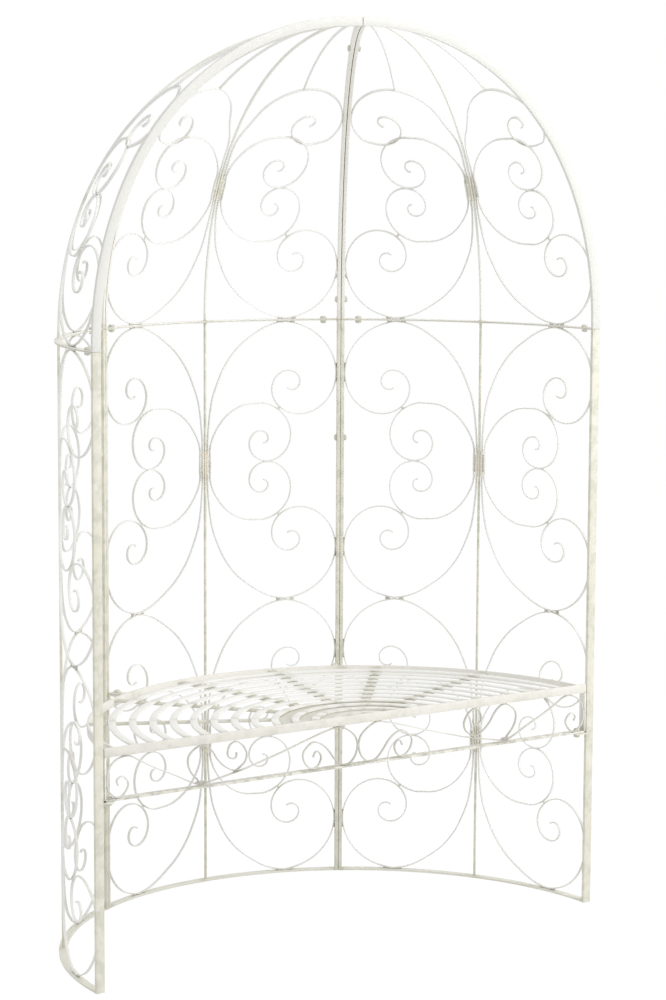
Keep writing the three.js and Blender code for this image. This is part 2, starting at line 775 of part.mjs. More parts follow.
function uprightBolt(spot, bottom, top) {
  const geometry = boltGeometry(top - bottom);
  geometry.rotateX(Math.PI / 2);
  geometry.translate(spot.x, spot.y, (top + bottom) / 2);
  return solidOf(geometry);
}

function ribBolt(boundaryDegrees, radius, height) {
  const geometry = boltGeometry(2 * (ribHalfGap + edgeBarWidth));
  geometry.translate(radius, 0, height);
  geometry.rotateZ(THREE.MathUtils.degToRad(boundaryDegrees));
  return solidOf(geometry);
}

// The assembly
const paint = { color: 0xe2e0d4, roughness: 0.5, metalness: 0.05 };
const boltPaint = { color: 0xcfccbd, roughness: 0.6, metalness: 0.1 };
const arbour = new THREE.Group();

function add(name, solid, look = paint) {
  const mesh = new THREE.Mesh(geometryOf(solid), new THREE.MeshStandardMaterial(look));
  mesh.name = name;
  arbour.add(mesh);
}

const panels = [
  { name: 'right', start: 0, ribs: [rightRib], halves: [['front', -1], ['rear', 1]] },
  {
    name: 'back',
    start: rightRib,
    ribs: [rightRib, leftRib],
    halves: [['right', -1], ['left', 1]],
  },
  { name: 'left', start: leftRib, ribs: [leftRib], halves: [['rear', -1], ['front', 1]] },
];
const panelLugs = {
  right: [lug(0, 1, apronLugTop)],
  back: [lug(rightRib, 1, seatLugTop), lug(leftRib, -1, seatLugTop)],
  left: [lug(leftPost, -1, apronLugTop)],
};
const lowerKnot = baseRailThickness + unitHeight / 2;
const units = [['lower', lowerKnot], ['upper', lowerKnot + unitHeight]];

panels.forEach(({ name, start, ribs, halves }) => {
  const middle = start + panelDegrees / 2;
  add(`${name}_panel_frame`, lowerPanelFrame(start, panelLugs[name], ribs));
  add(`${name}_dome_frame`, domeFrame(start, ribs));
  halves.forEach(([half, side]) => {
    units.forEach(([unit, knotHeight]) => {
      add(`${name}_panel_${unit}_scrolls_${half}`, panelScrolls(middle, side, knotHeight));
    });
    add(`${name}_dome_scrolls_${half}`, domeScrolls(middle, side));
  });
  railBoltSpots(start).forEach((spot, index) => {
    add(`${name}_rail_bolt_${index + 1}`,
      uprightBolt(spot, railHeight - ringRailThickness, domeBase + ringRailThickness),
      boltPaint);
  });
});

[['right', rightRib], ['left', leftRib]].forEach(([name, degrees]) => {
  ribBoltHeights.forEach((height, index) => {
    add(`${name}_rib_bolt_${index + 1}`, ribBolt(degrees, middleRadius, height), boltPaint);
  });
  domeBoltDegrees.forEach((rise, index) => {
    const at = domeProfile(middleRadius, domeMiddleHeight, rise);
    add(`${name}_dome_bolt_${index + 1}`, ribBolt(degrees, at.x, domeBase + at.y), boltPaint);
  });
});

add('seat_frame', seatFrame());
add('seat_support_bars', seatSupports());
for (let index = 0; index < slatCount; index += 1) {
  add(`seat_slat_${index + 1}`, seatSlat(index));
}
[['right', rightRib, 1], ['left', leftRib, -1]].forEach(([name, degrees, side]) => {
  add(`seat_bolt_${name}`,
    uprightBolt(lugSpot(degrees, side), seatLugTop - lugThickness, tabTop), boltPaint);
});

add('apron_frame', apronFrame());
[['right', 0, 1], ['left', leftPost, -1]].forEach(([name, degrees, side]) => {
  add(`apron_scrolls_${name}`, apronScrolls(side));
  add(`apron_bolt_${name}`,
    uprightBolt(lugSpot(degrees, side), apronLugTop - lugThickness, apronBarTop), boltPaint);
});

// The part's origin is under the middle of its box, on the ground
arbour.position.y = -(frameFront + railOuterRadius) / 2;

const part = new THREE.Group();
part.add(arbour);
export default part;
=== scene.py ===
import math
from contextlib import contextmanager

import bmesh
import bpy
from mathutils import Matrix, Vector
from mathutils.geometry import interpolate_bezier


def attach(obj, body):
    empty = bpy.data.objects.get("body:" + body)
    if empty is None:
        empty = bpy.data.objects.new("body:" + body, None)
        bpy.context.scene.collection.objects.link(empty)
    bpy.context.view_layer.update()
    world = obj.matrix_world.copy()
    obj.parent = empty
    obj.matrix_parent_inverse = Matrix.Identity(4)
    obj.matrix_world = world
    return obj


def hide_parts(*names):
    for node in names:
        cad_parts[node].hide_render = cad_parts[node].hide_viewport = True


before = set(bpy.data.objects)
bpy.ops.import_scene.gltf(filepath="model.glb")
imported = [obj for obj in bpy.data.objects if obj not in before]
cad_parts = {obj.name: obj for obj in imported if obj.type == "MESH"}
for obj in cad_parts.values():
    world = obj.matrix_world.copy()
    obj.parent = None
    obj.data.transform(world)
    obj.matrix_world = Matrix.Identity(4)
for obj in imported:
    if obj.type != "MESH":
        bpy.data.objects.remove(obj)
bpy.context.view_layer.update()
print("frame in place:", len(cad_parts), "nodes")

# Everything is in metres. The arbour is drawn round its own axis, which runs
# through the middle of the front arch, and each piece is then moved to the frame.
arbour = {
    "radius": 0.600,
    "barDepth": 0.018,
    "contactGap": 0.0003,
    "ribHalfGap": 0.0004,
    "edgeBarWidth": 0.0075,
    "baseRail": 0.004,
    "ringRail": 0.002,
    "railOuterSetback": 0.0005,
    "railInnerSetback": 0.001,
    "midBarWidth": 0.004,
    "stripWidth": 0.0026,
    "stripDepth": 0.0055,
    "knotGap": 0.0034,
    "railHeight": 1.222,
    "domeHeight": 0.62596,
    "domeFullness": 2.12,
    "panelDegrees": 60,
    "weldOverlap": 0.001,
    "faceInset": 0.000015,
}
contactGap, ribHalfGap = arbour["contactGap"], arbour["ribHalfGap"]
weldOverlap, stripWidth = arbour["weldOverlap"], arbour["stripWidth"]
baseRail, ringRail = arbour["baseRail"], arbour["ringRail"]
halfBar, halfStrip = arbour["barDepth"] / 2, arbour["stripDepth"] / 2
halfMidBar = arbour["midBarWidth"] / 2
middleRadius = arbour["radius"] - halfBar
innerRadius = arbour["radius"] - arbour["barDepth"]
domeMiddleHeight = arbour["domeHeight"] - halfBar
domeBase = arbour["railHeight"] + contactGap
halfDegrees = arbour["panelDegrees"] / 2
halfPanel = math.radians(halfDegrees)
degreeLength = math.radians((middleRadius + domeMiddleHeight) / 2)
stripReach = contactGap + stripWidth / 2
ribReach = ribHalfGap + arbour["edgeBarWidth"]
axisY = -(ribHalfGap + arbour["radius"] - arbour["railOuterSetback"]) / 2
toFrame = Matrix.Translation((0, axisY, 0))

softEdges = {
    "bar": 0.0008,
    "rib": 0.0007,
    "strip": 0.0006,
    "post": 0.0005,
    "bolt": 0.0005,
    "rail": 0.0004,
    "steps": 2,
    "bevelDegrees": 40,
    "smoothDegrees": 35,
}
stainReaches = {
    "scroll": 0.016,
    "frame": 0.02,
    "slat": 0.013,
    "rim": 0.022,
    "support": 0.014,
    "bolt": 0.003,
}


def freeHands():
    if bpy.context.object and bpy.context.object.mode != "OBJECT":
        bpy.ops.object.mode_set(mode="OBJECT")
    bpy.ops.object.select_all(action="DESELECT")


def takeUp(*pieces):
    freeHands()
    for piece in pieces:
        piece.select_set(True)
    bpy.context.view_layer.objects.active = pieces[0]


@contextmanager
def editing(piece, elements=None):
    takeUp(piece)
    bpy.ops.object.mode_set(mode="EDIT")
    if elements:
        bpy.ops.mesh.select_mode(type=elements)
    bpy.ops.mesh.select_all(action="SELECT")
    yield
    bpy.ops.object.mode_set(mode="OBJECT")


def applied(piece, kind, **settings):
    takeUp(piece)
    modifier = piece.modifiers.new(kind.title(), kind)
    for key, value in settings.items():
        setattr(modifier, key, value)
    bpy.ops.object.modifier_apply(modifier=modifier.name)
    return piece


def softened(piece, width=softEdges["bar"]):
    return applied(piece, "BEVEL", width=width, segments=softEdges["steps"],
                   limit_method="ANGLE", angle_limit=math.radians(softEdges["bevelDegrees"]))


def settledOrigin(piece):
    takeUp(piece)
    bpy.ops.object.transform_apply(location=True, rotation=True, scale=True)
    return piece


def made(primitive, **settings):
    freeHands()
    primitive(**settings)
    return settledOrigin(bpy.context.object)


def joined(pieces):
    takeUp(*pieces)
    if len(pieces) > 1:
        bpy.ops.object.join()
    return pieces[0]


def moved(piece, matrix, flip=False):
    piece.data.transform(matrix)
    if flip:
        piece.data.flip_normals()
    return piece


def copied(piece, matrix=Matrix(), flip=False):
    twin = piece.copy()
    twin.data = piece.data.copy()
    bpy.context.scene.collection.objects.link(twin)
    return moved(twin, matrix, flip)


def raised(piece, rise):
    for vertex in piece.data.vertices:
        vertex.co.y += rise
    return piece


def outwardFaces(piece):
    with editing(piece):
        bpy.ops.mesh.normals_make_consistent(inside=False)
    return piece


def at(x, y, z=0):
    return Vector((x, y, z))


def turned(degrees):
    return Matrix.Rotation(math.radians(degrees), 4, "Z")


def towards(degrees):
    angle = math.radians(degrees)
    return Vector((math.cos(angle), math.sin(angle), 0))


def sideSpan(side, near, far):
    return sorted((side * near, side * far))


alongLimit = 0.9  # the cosine above which an edge or a face points a given way


def pulledOut(step):
    bpy.ops.mesh.extrude_region_move(TRANSFORM_OT_translate={"value": step})


# Bars, strips and beads are drawn flat: x across the panel, y up it, z out of it.
def flatBar(low, high, cuts=0, alongY=False, soften=softEdges["bar"]):
    size = [b - a for a, b in zip(low, high)]
    centre = [(a + b) / 2 for a, b in zip(low, high)]
    bar = made(bpy.ops.mesh.primitive_cube_add, size=1, location=centre, scale=size)
    if cuts:
        with editing(bar, "EDGE"):
            shape = bmesh.from_edit_mesh(bar.data)
            axis = at(0, 1) if alongY else at(1, 0)
            for edge in shape.edges:
                run = edge.verts[1].co - edge.verts[0].co
                edge.select_set(abs(run.normalized().dot(axis)) > alongLimit)
            bmesh.update_edit_mesh(bar.data)
            bpy.ops.mesh.subdivide(number_cuts=cuts)
    return softened(bar, soften)


def drawnStrip(path, width, depth):
    strip = made(bpy.ops.mesh.primitive_plane_add, size=0.001,
                 location=(path[0].x, path[0].y, -depth / 2))
    with editing(strip, "VERT"):
        bpy.ops.mesh.merge(type="CENTER")
        for here, there in zip(path, path[1:]):
            pulledOut((there.x - here.x, there.y - here.y, 0))
        bpy.ops.mesh.select_all(action="SELECT")
        pulledOut((0, 0, depth))
    applied(strip, "SOLIDIFY", thickness=width, offset=0, use_even_offset=True)
    return softened(outwardFaces(strip), softEdges["strip"])


weldBead = {"roughness": 0.05, "rings": 2, "seed": 7}
beadMaster = made(bpy.ops.mesh.primitive_ico_sphere_add,
                  subdivisions=weldBead["rings"], radius=0.5)
with editing(beadMaster):
    bpy.ops.transform.vertex_random(offset=weldBead["roughness"], seed=weldBead["seed"])


def bead(place, size, degrees=0):
    return copied(beadMaster, Matrix.Translation(place) @ turned(degrees)
                  @ Matrix.Diagonal((*size, 1)))


def newMark(piece, name):
    return piece.data.attributes.new(name, "FLOAT", "POINT").data


# How near each point of a piece lies to a weld. The paint is stained there.
def markWelds(piece, spots, kind="scroll"):
    for vertex, stain in zip(piece.data.vertices, newMark(piece, "weld")):
        near = min((vertex.co - spot).length for spot in spots)
        stain.value = math.exp(-(near / stainReaches[kind]) ** 2)
    return piece


# One even mark on a whole piece, for welds that are painted in a colour of their own
def tinted(piece, name, value):
    newMark(piece, name).foreach_set("value", [value] * len(piece.data.vertices))
    return piece


# From the flat drawing onto the curved panels
def ontoPanel(piece):
    for vertex in piece.data.vertices:
        x, y, z = vertex.co
        angle = x / middleRadius
        radius = middleRadius + z
        vertex.co = (radius * math.cos(angle), radius * math.sin(angle), y)
    return piece


def domeProfile(degrees):
    power = arbour["domeFullness"]
    cos = max(math.cos(math.radians(degrees)), 0)
    sin = math.sin(math.radians(degrees))
    share = (cos ** power + sin ** power) ** (-1 / power)
    return middleRadius * share * cos, domeMiddleHeight * share * sin


def domeNormal(radius, height):
    power = arbour["domeFullness"] - 1
    outwards = (radius / middleRadius) ** power / middleRadius
    upwards = (max(height, 0) / domeMiddleHeight) ** power / domeMiddleHeight
    return at(outwards, 0, upwards).normalized()


# How far up the dome its radius falls to a wanted one, in steps of a tenth of a degree
def riseWhere(radius, degrees):
    while domeProfile(degrees)[0] > radius:
        degrees += 0.1
    return degrees


def ontoGore(piece):
    for vertex in piece.data.vertices:
        x, y, z = vertex.co
        radius, height = domeProfile(y / degreeLength)
        out = domeNormal(radius, height)
        angle = x / radius
        radius += out.x * z
        vertex.co = (radius * math.cos(angle), radius * math.sin(angle),
                     domeBase + height + out.z * z)
    return piece


# A straight bar that follows one meridian: x stays the distance to its side
def ontoMeridian(piece, degrees):
    turn = turned(degrees)
    for vertex in piece.data.vertices:
        x, y, z = vertex.co
        radius, height = domeProfile(y / degreeLength)
        out = domeNormal(radius, height)
        vertex.co = turn @ at(radius + out.x * z, x, domeBase + height + out.z * z)
    return piece


# Each noise has a scale, a detail, a roughness and a shift, and then the two values
# between which it sets in
grain = {
    "shade": (5, 3, 0.55, 0, 0.32, 0.68),
    "khaki": (11, 2, 0.5, 3.1, 0.48, 0.72),
    "blush": (9, 2, 0.5, 8.3, 0.52, 0.74),
    "patches": (60, 3, 0.6, 5.7, 0.32, 0.58),
    "stain": (38, 2, 0.5, 6.4, 0.40, 0.60),
    "spots": (140, 2, 0.5, 7.6, 0.25, 0.60),
    "speckle": (380, 2, 0.6, 1.9, 0.62, 0.78),
    "rough": (45, 3, 0.6, 2.2, 0.3, 0.7),
    "bump": (260, 3, 0.6, 4.4),
    "shiftSkew": 0.7,
    "leastPatch": 0.35,
    "leastSpot": 0.7,
    # Ambient occlusion decides where the painted shade of crevices sets in
    "creviceOpen": 0.45,
    "creviceShut": 0.08,
    "creviceSamples": 8,
}
# The look of the scrolls. The other paints say what they change in it. The fourth
# number of a colour says how far it covers what is under it.
scrollLook = {
    "cream": (0.87, 0.87, 0.845),
    "shade": (0.78, 0.78, 0.75),
    "khaki": (0.70, 0.70, 0.62, 0.30),
    "blush": (0.80, 0.74, 0.69, 0.25),
    "stain": (0.38, 0.38, 0.28, 0.45),
    "paleStain": (0.72, 0.68, 0.55),
    "filler": (0.83, 0.75, 0.61),
    "touch": (0.26, 0.25, 0.18),
    # The crevice colour is painted shade, laid where ambient occlusion finds a crevice
    "creviceShade": (0.24, 0.21, 0.15, 0.5),
    "creviceReach": 0.004,
    "speckleShare": 0.05,
    "roughness": (0.45, 0.65),
    "bumpStrength": 0.07,
    "bumpHeight": 0.0003,
}


def feed(tree, socket, value):
    if isinstance(value, bpy.types.NodeSocket):
        tree.links.new(value, socket)
    else:
        socket.default_value = (*value, 1) if socket.type == "RGBA" else value


# One output of a new node. An input is fed by another node's output or set to a value.
def shaderNode(tree, kind, output, inputs, **settings):
    fresh = tree.nodes.new("ShaderNode" + kind)
    for key, value in settings.items():
        setattr(fresh, key, value)
    for key, value in inputs.items():
        feed(tree, fresh.inputs[key], value)
    return fresh.outputs[output]


def paint(name, changes):
    look = {**scrollLook, **changes}
    material = bpy.data.materials.new(name)
    material.use_nodes = True
    tree = material.node_tree
    place = shaderNode(tree, "TexCoord", "Object", {})

    def noise(scale, detail, roughness, shift):
        shifted = shaderNode(tree, "Mapping", "Vector", {
            "Vector": place, "Location": (shift, shift * grain["shiftSkew"], -shift)})
        return shaderNode(tree, "TexNoise", "Fac", {
            "Vector": shifted, "Scale": scale, "Detail": detail, "Roughness": roughness})

    def between(source, low, high, to=(0, 1)):
        return shaderNode(tree, "MapRange", "Result", {
            "Value": source, "From Min": low, "From Max": high,
            "To Min": to[0], "To Max": to[1]}, interpolation_type="SMOOTHSTEP")

    def grained(name, to=(0, 1)):
        *settings, low, high = grain[name]
        return between(noise(*settings), low, high, to)

    def marked(name):
        return shaderNode(tree, "Attribute", "Fac", {}, attribute_name=name)

    def times(first, second):
        return shaderNode(tree, "Math", "Value", {0: first, 1: second}, operation="MULTIPLY")

    # The colours of a mix node are its inputs 6 and 7 and its output 2
    def mixed(factor, under, over):
        return shaderNode(tree, "Mix", 2, {0: factor, 6: under, 7: over}, data_type="RGBA")

    def covered(under, places, name, over=None):
        *plain, share = look[name]
        return mixed(times(places, share), under, over or plain)

    colour = mixed(grained("shade"), look["cream"], look["shade"])
    for part in ("khaki", "blush"):
        colour = covered(colour, grained(part), part)
    patches = times(marked("weld"), grained("patches", (grain["leastPatch"], 1)))
    stain = mixed(grained("stain"), look["stain"][:3], look["paleStain"])
    colour = covered(colour, patches, "stain", stain)
    for part in ("filler", "touch"):
        uneven = grained("spots", (grain["leastSpot"], 1))
        colour = mixed(times(marked(part), uneven), colour, look[part])
    # Painted shade: the crevices that ambient occlusion finds are darkened
    creviceShade = shaderNode(tree, "AmbientOcclusion", "AO", {"Distance": look["creviceReach"]},
                         samples=grain["creviceSamples"])
    paintedShadeMask = between(creviceShade, grain["creviceOpen"], grain["creviceShut"])
    colour = covered(colour, paintedShadeMask, "creviceShade")
    colour = mixed(times(grained("speckle"), look["speckleShare"]), colour, look["khaki"][:3])
    bump = shaderNode(tree, "Bump", "Normal", {
        "Strength": look["bumpStrength"], "Distance": look["bumpHeight"],
        "Height": noise(*grain["bump"])})
    surface = tree.nodes["Principled BSDF"].inputs
    feed(tree, surface["Base Color"], colour)
    feed(tree, surface["Roughness"], grained("rough", look["roughness"]))
    feed(tree, surface["Normal"], bump)
    return material


scrollPaint = paint("creamScrollPaint", {})
# The side gores' scrolls: a darker copy of the scroll paint as painted shade, with khaki welds
shadedDomeScrollPaint = paint("shadedDomeScrollPaint", {
    "cream": (0.84, 0.84, 0.82),
    "shade": (0.74, 0.74, 0.71),
    "khaki": (0.66, 0.66, 0.58, 0.30),
    "filler": (0.74, 0.73, 0.55),
    "touch": (0.46, 0.45, 0.33),
})
# The back gore's scrolls: a lighter copy of the scroll paint as painted light, with khaki welds
backScrollPaint = paint("litBackScrollPaint", {
    "cream": (0.93, 0.93, 0.91),
    "shade": (0.88, 0.88, 0.86),
    "khaki": (0.78, 0.78, 0.70, 0.30),
    "filler": (0.74, 0.73, 0.55),
    "touch": (0.46, 0.45, 0.33),
})
panelPaint = paint("creamPanelPaint", {
    "cream": (0.81, 0.80, 0.72),
    "shade": (0.77, 0.76, 0.67),
    "khaki": (0.68, 0.68, 0.54, 0.22),
    "blush": (0.84, 0.78, 0.70, 0.20),
    "stain": (0.45, 0.45, 0.31, 0.6),
    "paleStain": (0.70, 0.66, 0.52),
    "creviceShade": (0.40, 0.37, 0.28, 0.4),
    "creviceReach": 0.006,
    "roughness": (0.42, 0.60),
})
# A lighter copy of the frame paint: painted light on the ribs, which face away from the lamps
domePaint = paint("creamDomePaint", {
    "cream": (0.88, 0.87, 0.81),
    "shade": (0.84, 0.83, 0.765),
    "khaki": (0.66, 0.65, 0.53, 0.22),
    "blush": (0.86, 0.80, 0.75, 0.25),
    "stain": (0.45, 0.43, 0.31, 0.6),
    "paleStain": (0.72, 0.67, 0.55),
    # Painted shade on the lit front face of the front arch
    "filler": (0.755, 0.75, 0.715),
    # The seams of the rear ribs: a brown tone, and painted shade of the gap between the ribs
    "touch": (0.42, 0.33, 0.25),
    "creviceShade": (0.20, 0.14, 0.08, 0.9),
    "creviceReach": 0.008,
    "roughness": (0.42, 0.60),
})
seatLook = {
    "cream": (0.88, 0.875, 0.84),
    "shade": (0.87, 0.86, 0.825),
    "khaki": (0.80, 0.79, 0.71, 0.15),
    "blush": (0.87, 0.84, 0.80, 0.20),
    "stain": (0.34, 0.33, 0.24, 0.7),
    "paleStain": (0.68, 0.66, 0.54),
    "creviceShade": (0.30, 0.27, 0.19, 0.6),
    "creviceReach": 0.006,
    "speckleShare": 0.04,
    "roughness": (0.48, 0.54),
    "bumpStrength": 0.05,
    "bumpHeight": 0.0002,
}
seatPaint = paint("creamSeatPaint", seatLook)
barPaint = paint("warmBarPaint", {
    **seatLook,
    "cream": (0.81, 0.795, 0.735),
    "shade": (0.80, 0.78, 0.72),
    "khaki": (0.74, 0.73, 0.64, 0.15),
    "blush": (0.81, 0.77, 0.725, 0.20),
    "stain": (0.34, 0.33, 0.24, 0.5),
    "roughness": (0.50, 0.56),
})
# The support bars and hub: a khaki tone, made darker than the seat as painted shade beneath the
# slats
supportPaint = paint("shadedKhakiSupportPaint", {
    "cream": (0.70, 0.69, 0.62),
    "shade": (0.66, 0.65, 0.56),
    "khaki": (0.62, 0.62, 0.47, 0.6),
    "blush": (0.67, 0.62, 0.55, 0.25),
    "stain": (0.34, 0.33, 0.24, 0.6),
    "paleStain": (0.58, 0.56, 0.44),
    "creviceShade": (0.26, 0.23, 0.16, 0.6),
    "creviceReach": 0.006,
    "speckleShare": 0.08,
    "roughness": (0.46, 0.58),
})
# The apron's scrolls: a darker copy of the cream paint, painted shade beneath the seat
apronPaint = paint("shadedApronPaint", {
    "cream": (0.80, 0.79, 0.74),
    "shade": (0.60, 0.59, 0.55),
    "khaki": (0.56, 0.54, 0.45, 0.35),
    "blush": (0.76, 0.68, 0.61, 0.25),
    "stain": (0.22, 0.20, 0.15, 0.6),
    "paleStain": (0.50, 0.47, 0.38),
    "filler": (0.60, 0.55, 0.45),
    "touch": (0.22, 0.20, 0.15),
    "creviceShade": (0.16, 0.13, 0.09, 0.5),
})
boltPaint = paint("creamBoltPaint", {
    "cream": (0.72, 0.71, 0.63),
    "shade": (0.58, 0.56, 0.47),
    "khaki": (0.50, 0.48, 0.36, 0.6),
    "blush": (0.66, 0.58, 0.50, 0.3),
    "stain": (0.36, 0.33, 0.24, 0.6),
    "paleStain": (0.60, 0.56, 0.44),
    "creviceShade": (0.20, 0.16, 0.10, 0.7),
    "speckleShare": 0.4,
    "roughness": (0.40, 0.60),
    "bumpStrength": 0.3,
    "bumpHeight": 0.0005,
})
print("paints mixed")


# Each piece has the name of its node, in camel case
def finished(piece, node, material):
    first, *rest = node.split("_")
    piece.name = first + "".join(word.title() for word in rest)
    piece.data.materials.clear()
    piece.data.materials.append(material)
    takeUp(piece)
    bpy.ops.object.shade_smooth_by_angle(angle=math.radians(softEdges["smoothDegrees"]))
    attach(piece, "root")
    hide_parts(node)


def weldedUp(pieces, spots, kind, node, material):
    finished(moved(markWelds(joined(pieces), spots, kind), toFrame), node, material)


scrolls = {
    "spacing": 1.3,
    "domeKnotDegrees": 27,
    "domeSpanDegrees": 24.2,
    "domeInnerSpanDegrees": 27.3,
    "domeInnerReachShare": 0.92,
    "sideRodShare": 0.26,
    "sideRodCuts": 30,
    "curveSteps": 16,
}
outerStem = halfMidBar + arbour["knotGap"] + stripWidth / 2
innerStem = outerStem + stripWidth + arbour["knotGap"]
# Each half of a scroll leaves the knot as a straight stem. Its spiral has a first and a
# last radius, and the angle it starts at and turns through.
outerShares = {
    "offset": outerStem,
    "knotLength": 0.052,
    "steps": (26, 68),
    "stem": [(0.056, 0.446), (0.102, 0.574), (0.158, 0.689), (0.257, 0.815),
             (0.355, 0.892), (0.454, 0.954), (0.549, 0.990)],
    "centre": (0.674, 0.557),
    "radii": (0.446, 0.045),
    "degrees": (96, 590),
    "tightening": 2.27,
}
innerShares = {
    "offset": innerStem,
    "knotLength": 0.014,
    "steps": (14, 60),
    "stem": [(0.040, 0.102), (0.069, 0.197), (0.168, 0.331), (0.301, 0.407)],
    "centre": (0.461, 0.154),
    "radii": (0.266, 0.022),
    "degrees": (91, 540),
    "tightening": 1.61,
}
crownShares = {
    "offset": outerStem,
    "knotLength": 0.052,
    "steps": (44, 52),
    "stem": [(0.035, 0.439), (0.094, 0.604), (0.165, 0.800), (0.262, 0.920),
             (0.400, 0.996), (0.560, 0.976), (0.729, 0.851), (0.823, 0.694),
             (0.846, 0.570), (0.800, 0.450)],
    "centre": (0.594, 0.612),
    "radii": (0.235, 0.030),
    "degrees": (-58, 380),
    "tightening": 2,
}

unitHeight = (arbour["railHeight"] - baseRail - ringRail) / 2
unitReach = unitHeight / 2 - stripReach
insideReach = middleRadius * halfPanel - ribReach
panelReach = insideReach - stripReach
domeKnotArc = scrolls["domeKnotDegrees"] * degreeLength
domeSpan = scrolls["domeSpanDegrees"] * degreeLength
domeInnerSpan = scrolls["domeInnerSpanDegrees"] * degreeLength
domeInnerReach = scrolls["domeInnerReachShare"] * panelReach
domeLowerReach = domeKnotArc - ringRail - stripReach
sideRodDegrees = arbour["panelDegrees"] * scrolls["sideRodShare"]


def domeReach(rise):
    return domeProfile(rise / degreeLength)[0] * halfPanel - ribReach - stripReach


leastSpan, leastStep = 1e-6, 1e-9  # these keep the line from a division by nothing


# A smooth line through given points, in steps of one length
def smoothLine(knots, steps):
    knots = [2 * knots[0] - knots[1], *knots, 2 * knots[-1] - knots[-2]]
    line = []
    for a, b, c, d in zip(knots, knots[1:], knots[2:], knots[3:]):
        spans = [max((q - p).length, leastSpan) ** 0.5 for p, q in ((a, b), (b, c), (c, d))]
        leave = (b - a) / spans[0] - (c - a) / (spans[0] + spans[1]) + (c - b) / spans[1]
        arrive = (c - b) / spans[1] - (d - b) / (spans[1] + spans[2]) + (d - c) / spans[2]
        leave, arrive = leave * spans[1], arrive * spans[1]
        line += interpolate_bezier(b, b + leave / 3, c - arrive / 3, c,
                                   scrolls["curveSteps"])[:-1]
    line.append(knots[-2])
    lengths = [0]
    for here, there in zip(line, line[1:]):
        lengths.append(lengths[-1] + (there - here).length)
    even, index = [], 0
    for step in range(steps + 1):
        want = lengths[-1] * step / steps
        while index < len(line) - 2 and lengths[index + 1] < want:
            index += 1
        share = (want - lengths[index]) / max(lengths[index + 1] - lengths[index], leastStep)
        even.append(line[index].lerp(line[index + 1], share))
    return even


# Half a scroll: a stem that leaves the knot, then a spiral that tightens
def halfScroll(shares, reach, span):
    centre = at(shares["centre"][0] * reach, shares["centre"][1] * span)
    (first, last), (start, sweep) = shares["radii"], shares["degrees"]
    stemSteps, spiralSteps = shares["steps"]
    spiral = []
    for step in range(spiralSteps + 1):
        travel = (step / spiralSteps) ** scrolls["spacing"]
        fall = (1 - travel) ** shares["tightening"]
        size = last + (first - last) * fall
        spiral.append(centre + towards(start - sweep * travel) * size * span)
    knots = [at(shares["offset"], 0), at(shares["offset"], shares["knotLength"])]
    knots += [at(x * reach, y * span) for x, y in shares["stem"]]
    return smoothLine([*knots, spiral[0]], stemSteps)[:-1] + spiral


# Stretched up to its span, and across until it meets the bar at its side
def fitted(points, span, reachAt):
    scale = span / max(point.y for point in points)
    points = [at(point.x, point.y * scale) for point in points]
    free = [p for p in points if p.x > outerStem + stripWidth]
    scale = min((reachAt(p.y) - outerStem) / (p.x - outerStem) for p in free)
    return [at(outerStem + (p.x - outerStem) * scale, p.y) for p in points]


def outerHalf(span, reachAt):
    return fitted(halfScroll(outerShares, panelReach, span), span, reachAt)


def wholeScroll(lower, upper):
    return [at(p.x, -p.y) for p in reversed(lower)] + upper[1:]


def closestPoints(outer, inner, outerStart):
    pairs = [(a, b) for a in outer[outerStart:] for b in inner[innerShares["steps"][0]:]]
    return min(pairs, key=lambda pair: (pair[0] - pair[1]).length)


# The fillers have a height and a length each
knotWelds = {
    "section": (0.0052, 0.0050),
    "spare": 0.0040,
    "fillerDepth": 0.0048,
    "fillers": ((0, 0.066), (-0.020, 0.019), (-0.008, 0.019), (0.005, 0.019), (0.017, 0.019)),
    "innerFillers": ((-0.010, 0.017), (0.001, 0.017), (0.011, 0.017)),
    "innerFillerShade": 0.42,
    "stainHeights": (-0.024, -0.012, 0, 0.012, 0.024),
    "railTouchShade": 0.3,
    "ribTouchShade": 0.9,
    "touchSize": (0.012, 0.0036, 0.0050),
    "touchSpread": 0.015,
}


# Beads that fill the room between two strips of the knot
def fillers(start, stop, places, mark, shade):
    middle, depth = (start + stop) / 2, knotWelds["fillerDepth"]
    return [tinted(bead(at(middle, height), (stop - start, length, depth)), mark, shade)
            for height, length in places]


# The large and the small C of one side, welded to each other and in the knot
def scrollPair(outerHalves, innerHalves, kinds, touches):
    pieces = [drawnStrip(wholeScroll(*halves), stripWidth, arbour["stripDepth"])
              for halves in (outerHalves, innerHalves)]
    spots = []
    for way, outer, inner, kind in zip((-1, 1), outerHalves, innerHalves, kinds):
        a, b = closestPoints(outer, inner, kind["steps"][0])
        across = b - a
        spot = at((a.x + b.x) / 2, way * (a.y + b.y) / 2)
        size = (across.length + knotWelds["spare"], *knotWelds["section"])
        degrees = way * math.degrees(math.atan2(across.y, across.x))
        pieces.append(bead(spot, size, degrees))
        spots.append(spot)
    pieces += fillers(halfMidBar + contactGap, outerStem, knotWelds["fillers"], "filler", 1)
    pieces += fillers(outerStem, innerStem, knotWelds["innerFillers"], "touch",
                      knotWelds["innerFillerShade"])
    spots += [at(offset, height) for offset in (outerStem, innerStem)
              for height in knotWelds["stainHeights"]]
    for x, y, degrees in touches:
        along = at(1, 0) if degrees == 0 else at(0, 1)
        shade = knotWelds["railTouchShade" if degrees == 0 else "ribTouchShade"]
        for way in (-1, 1):
            spot = at(x, y) + along * way * knotWelds["touchSpread"]
            touch = bead(spot, knotWelds["touchSize"], degrees)
            pieces.append(tinted(touch, "touch", shade))
            spots.append(spot)
    return markWelds(joined(pieces), spots)


def highest(points):
    return max(points, key=lambda point: point.y)


def lowest(points):
    return min(points, key=lambda point: point.y)


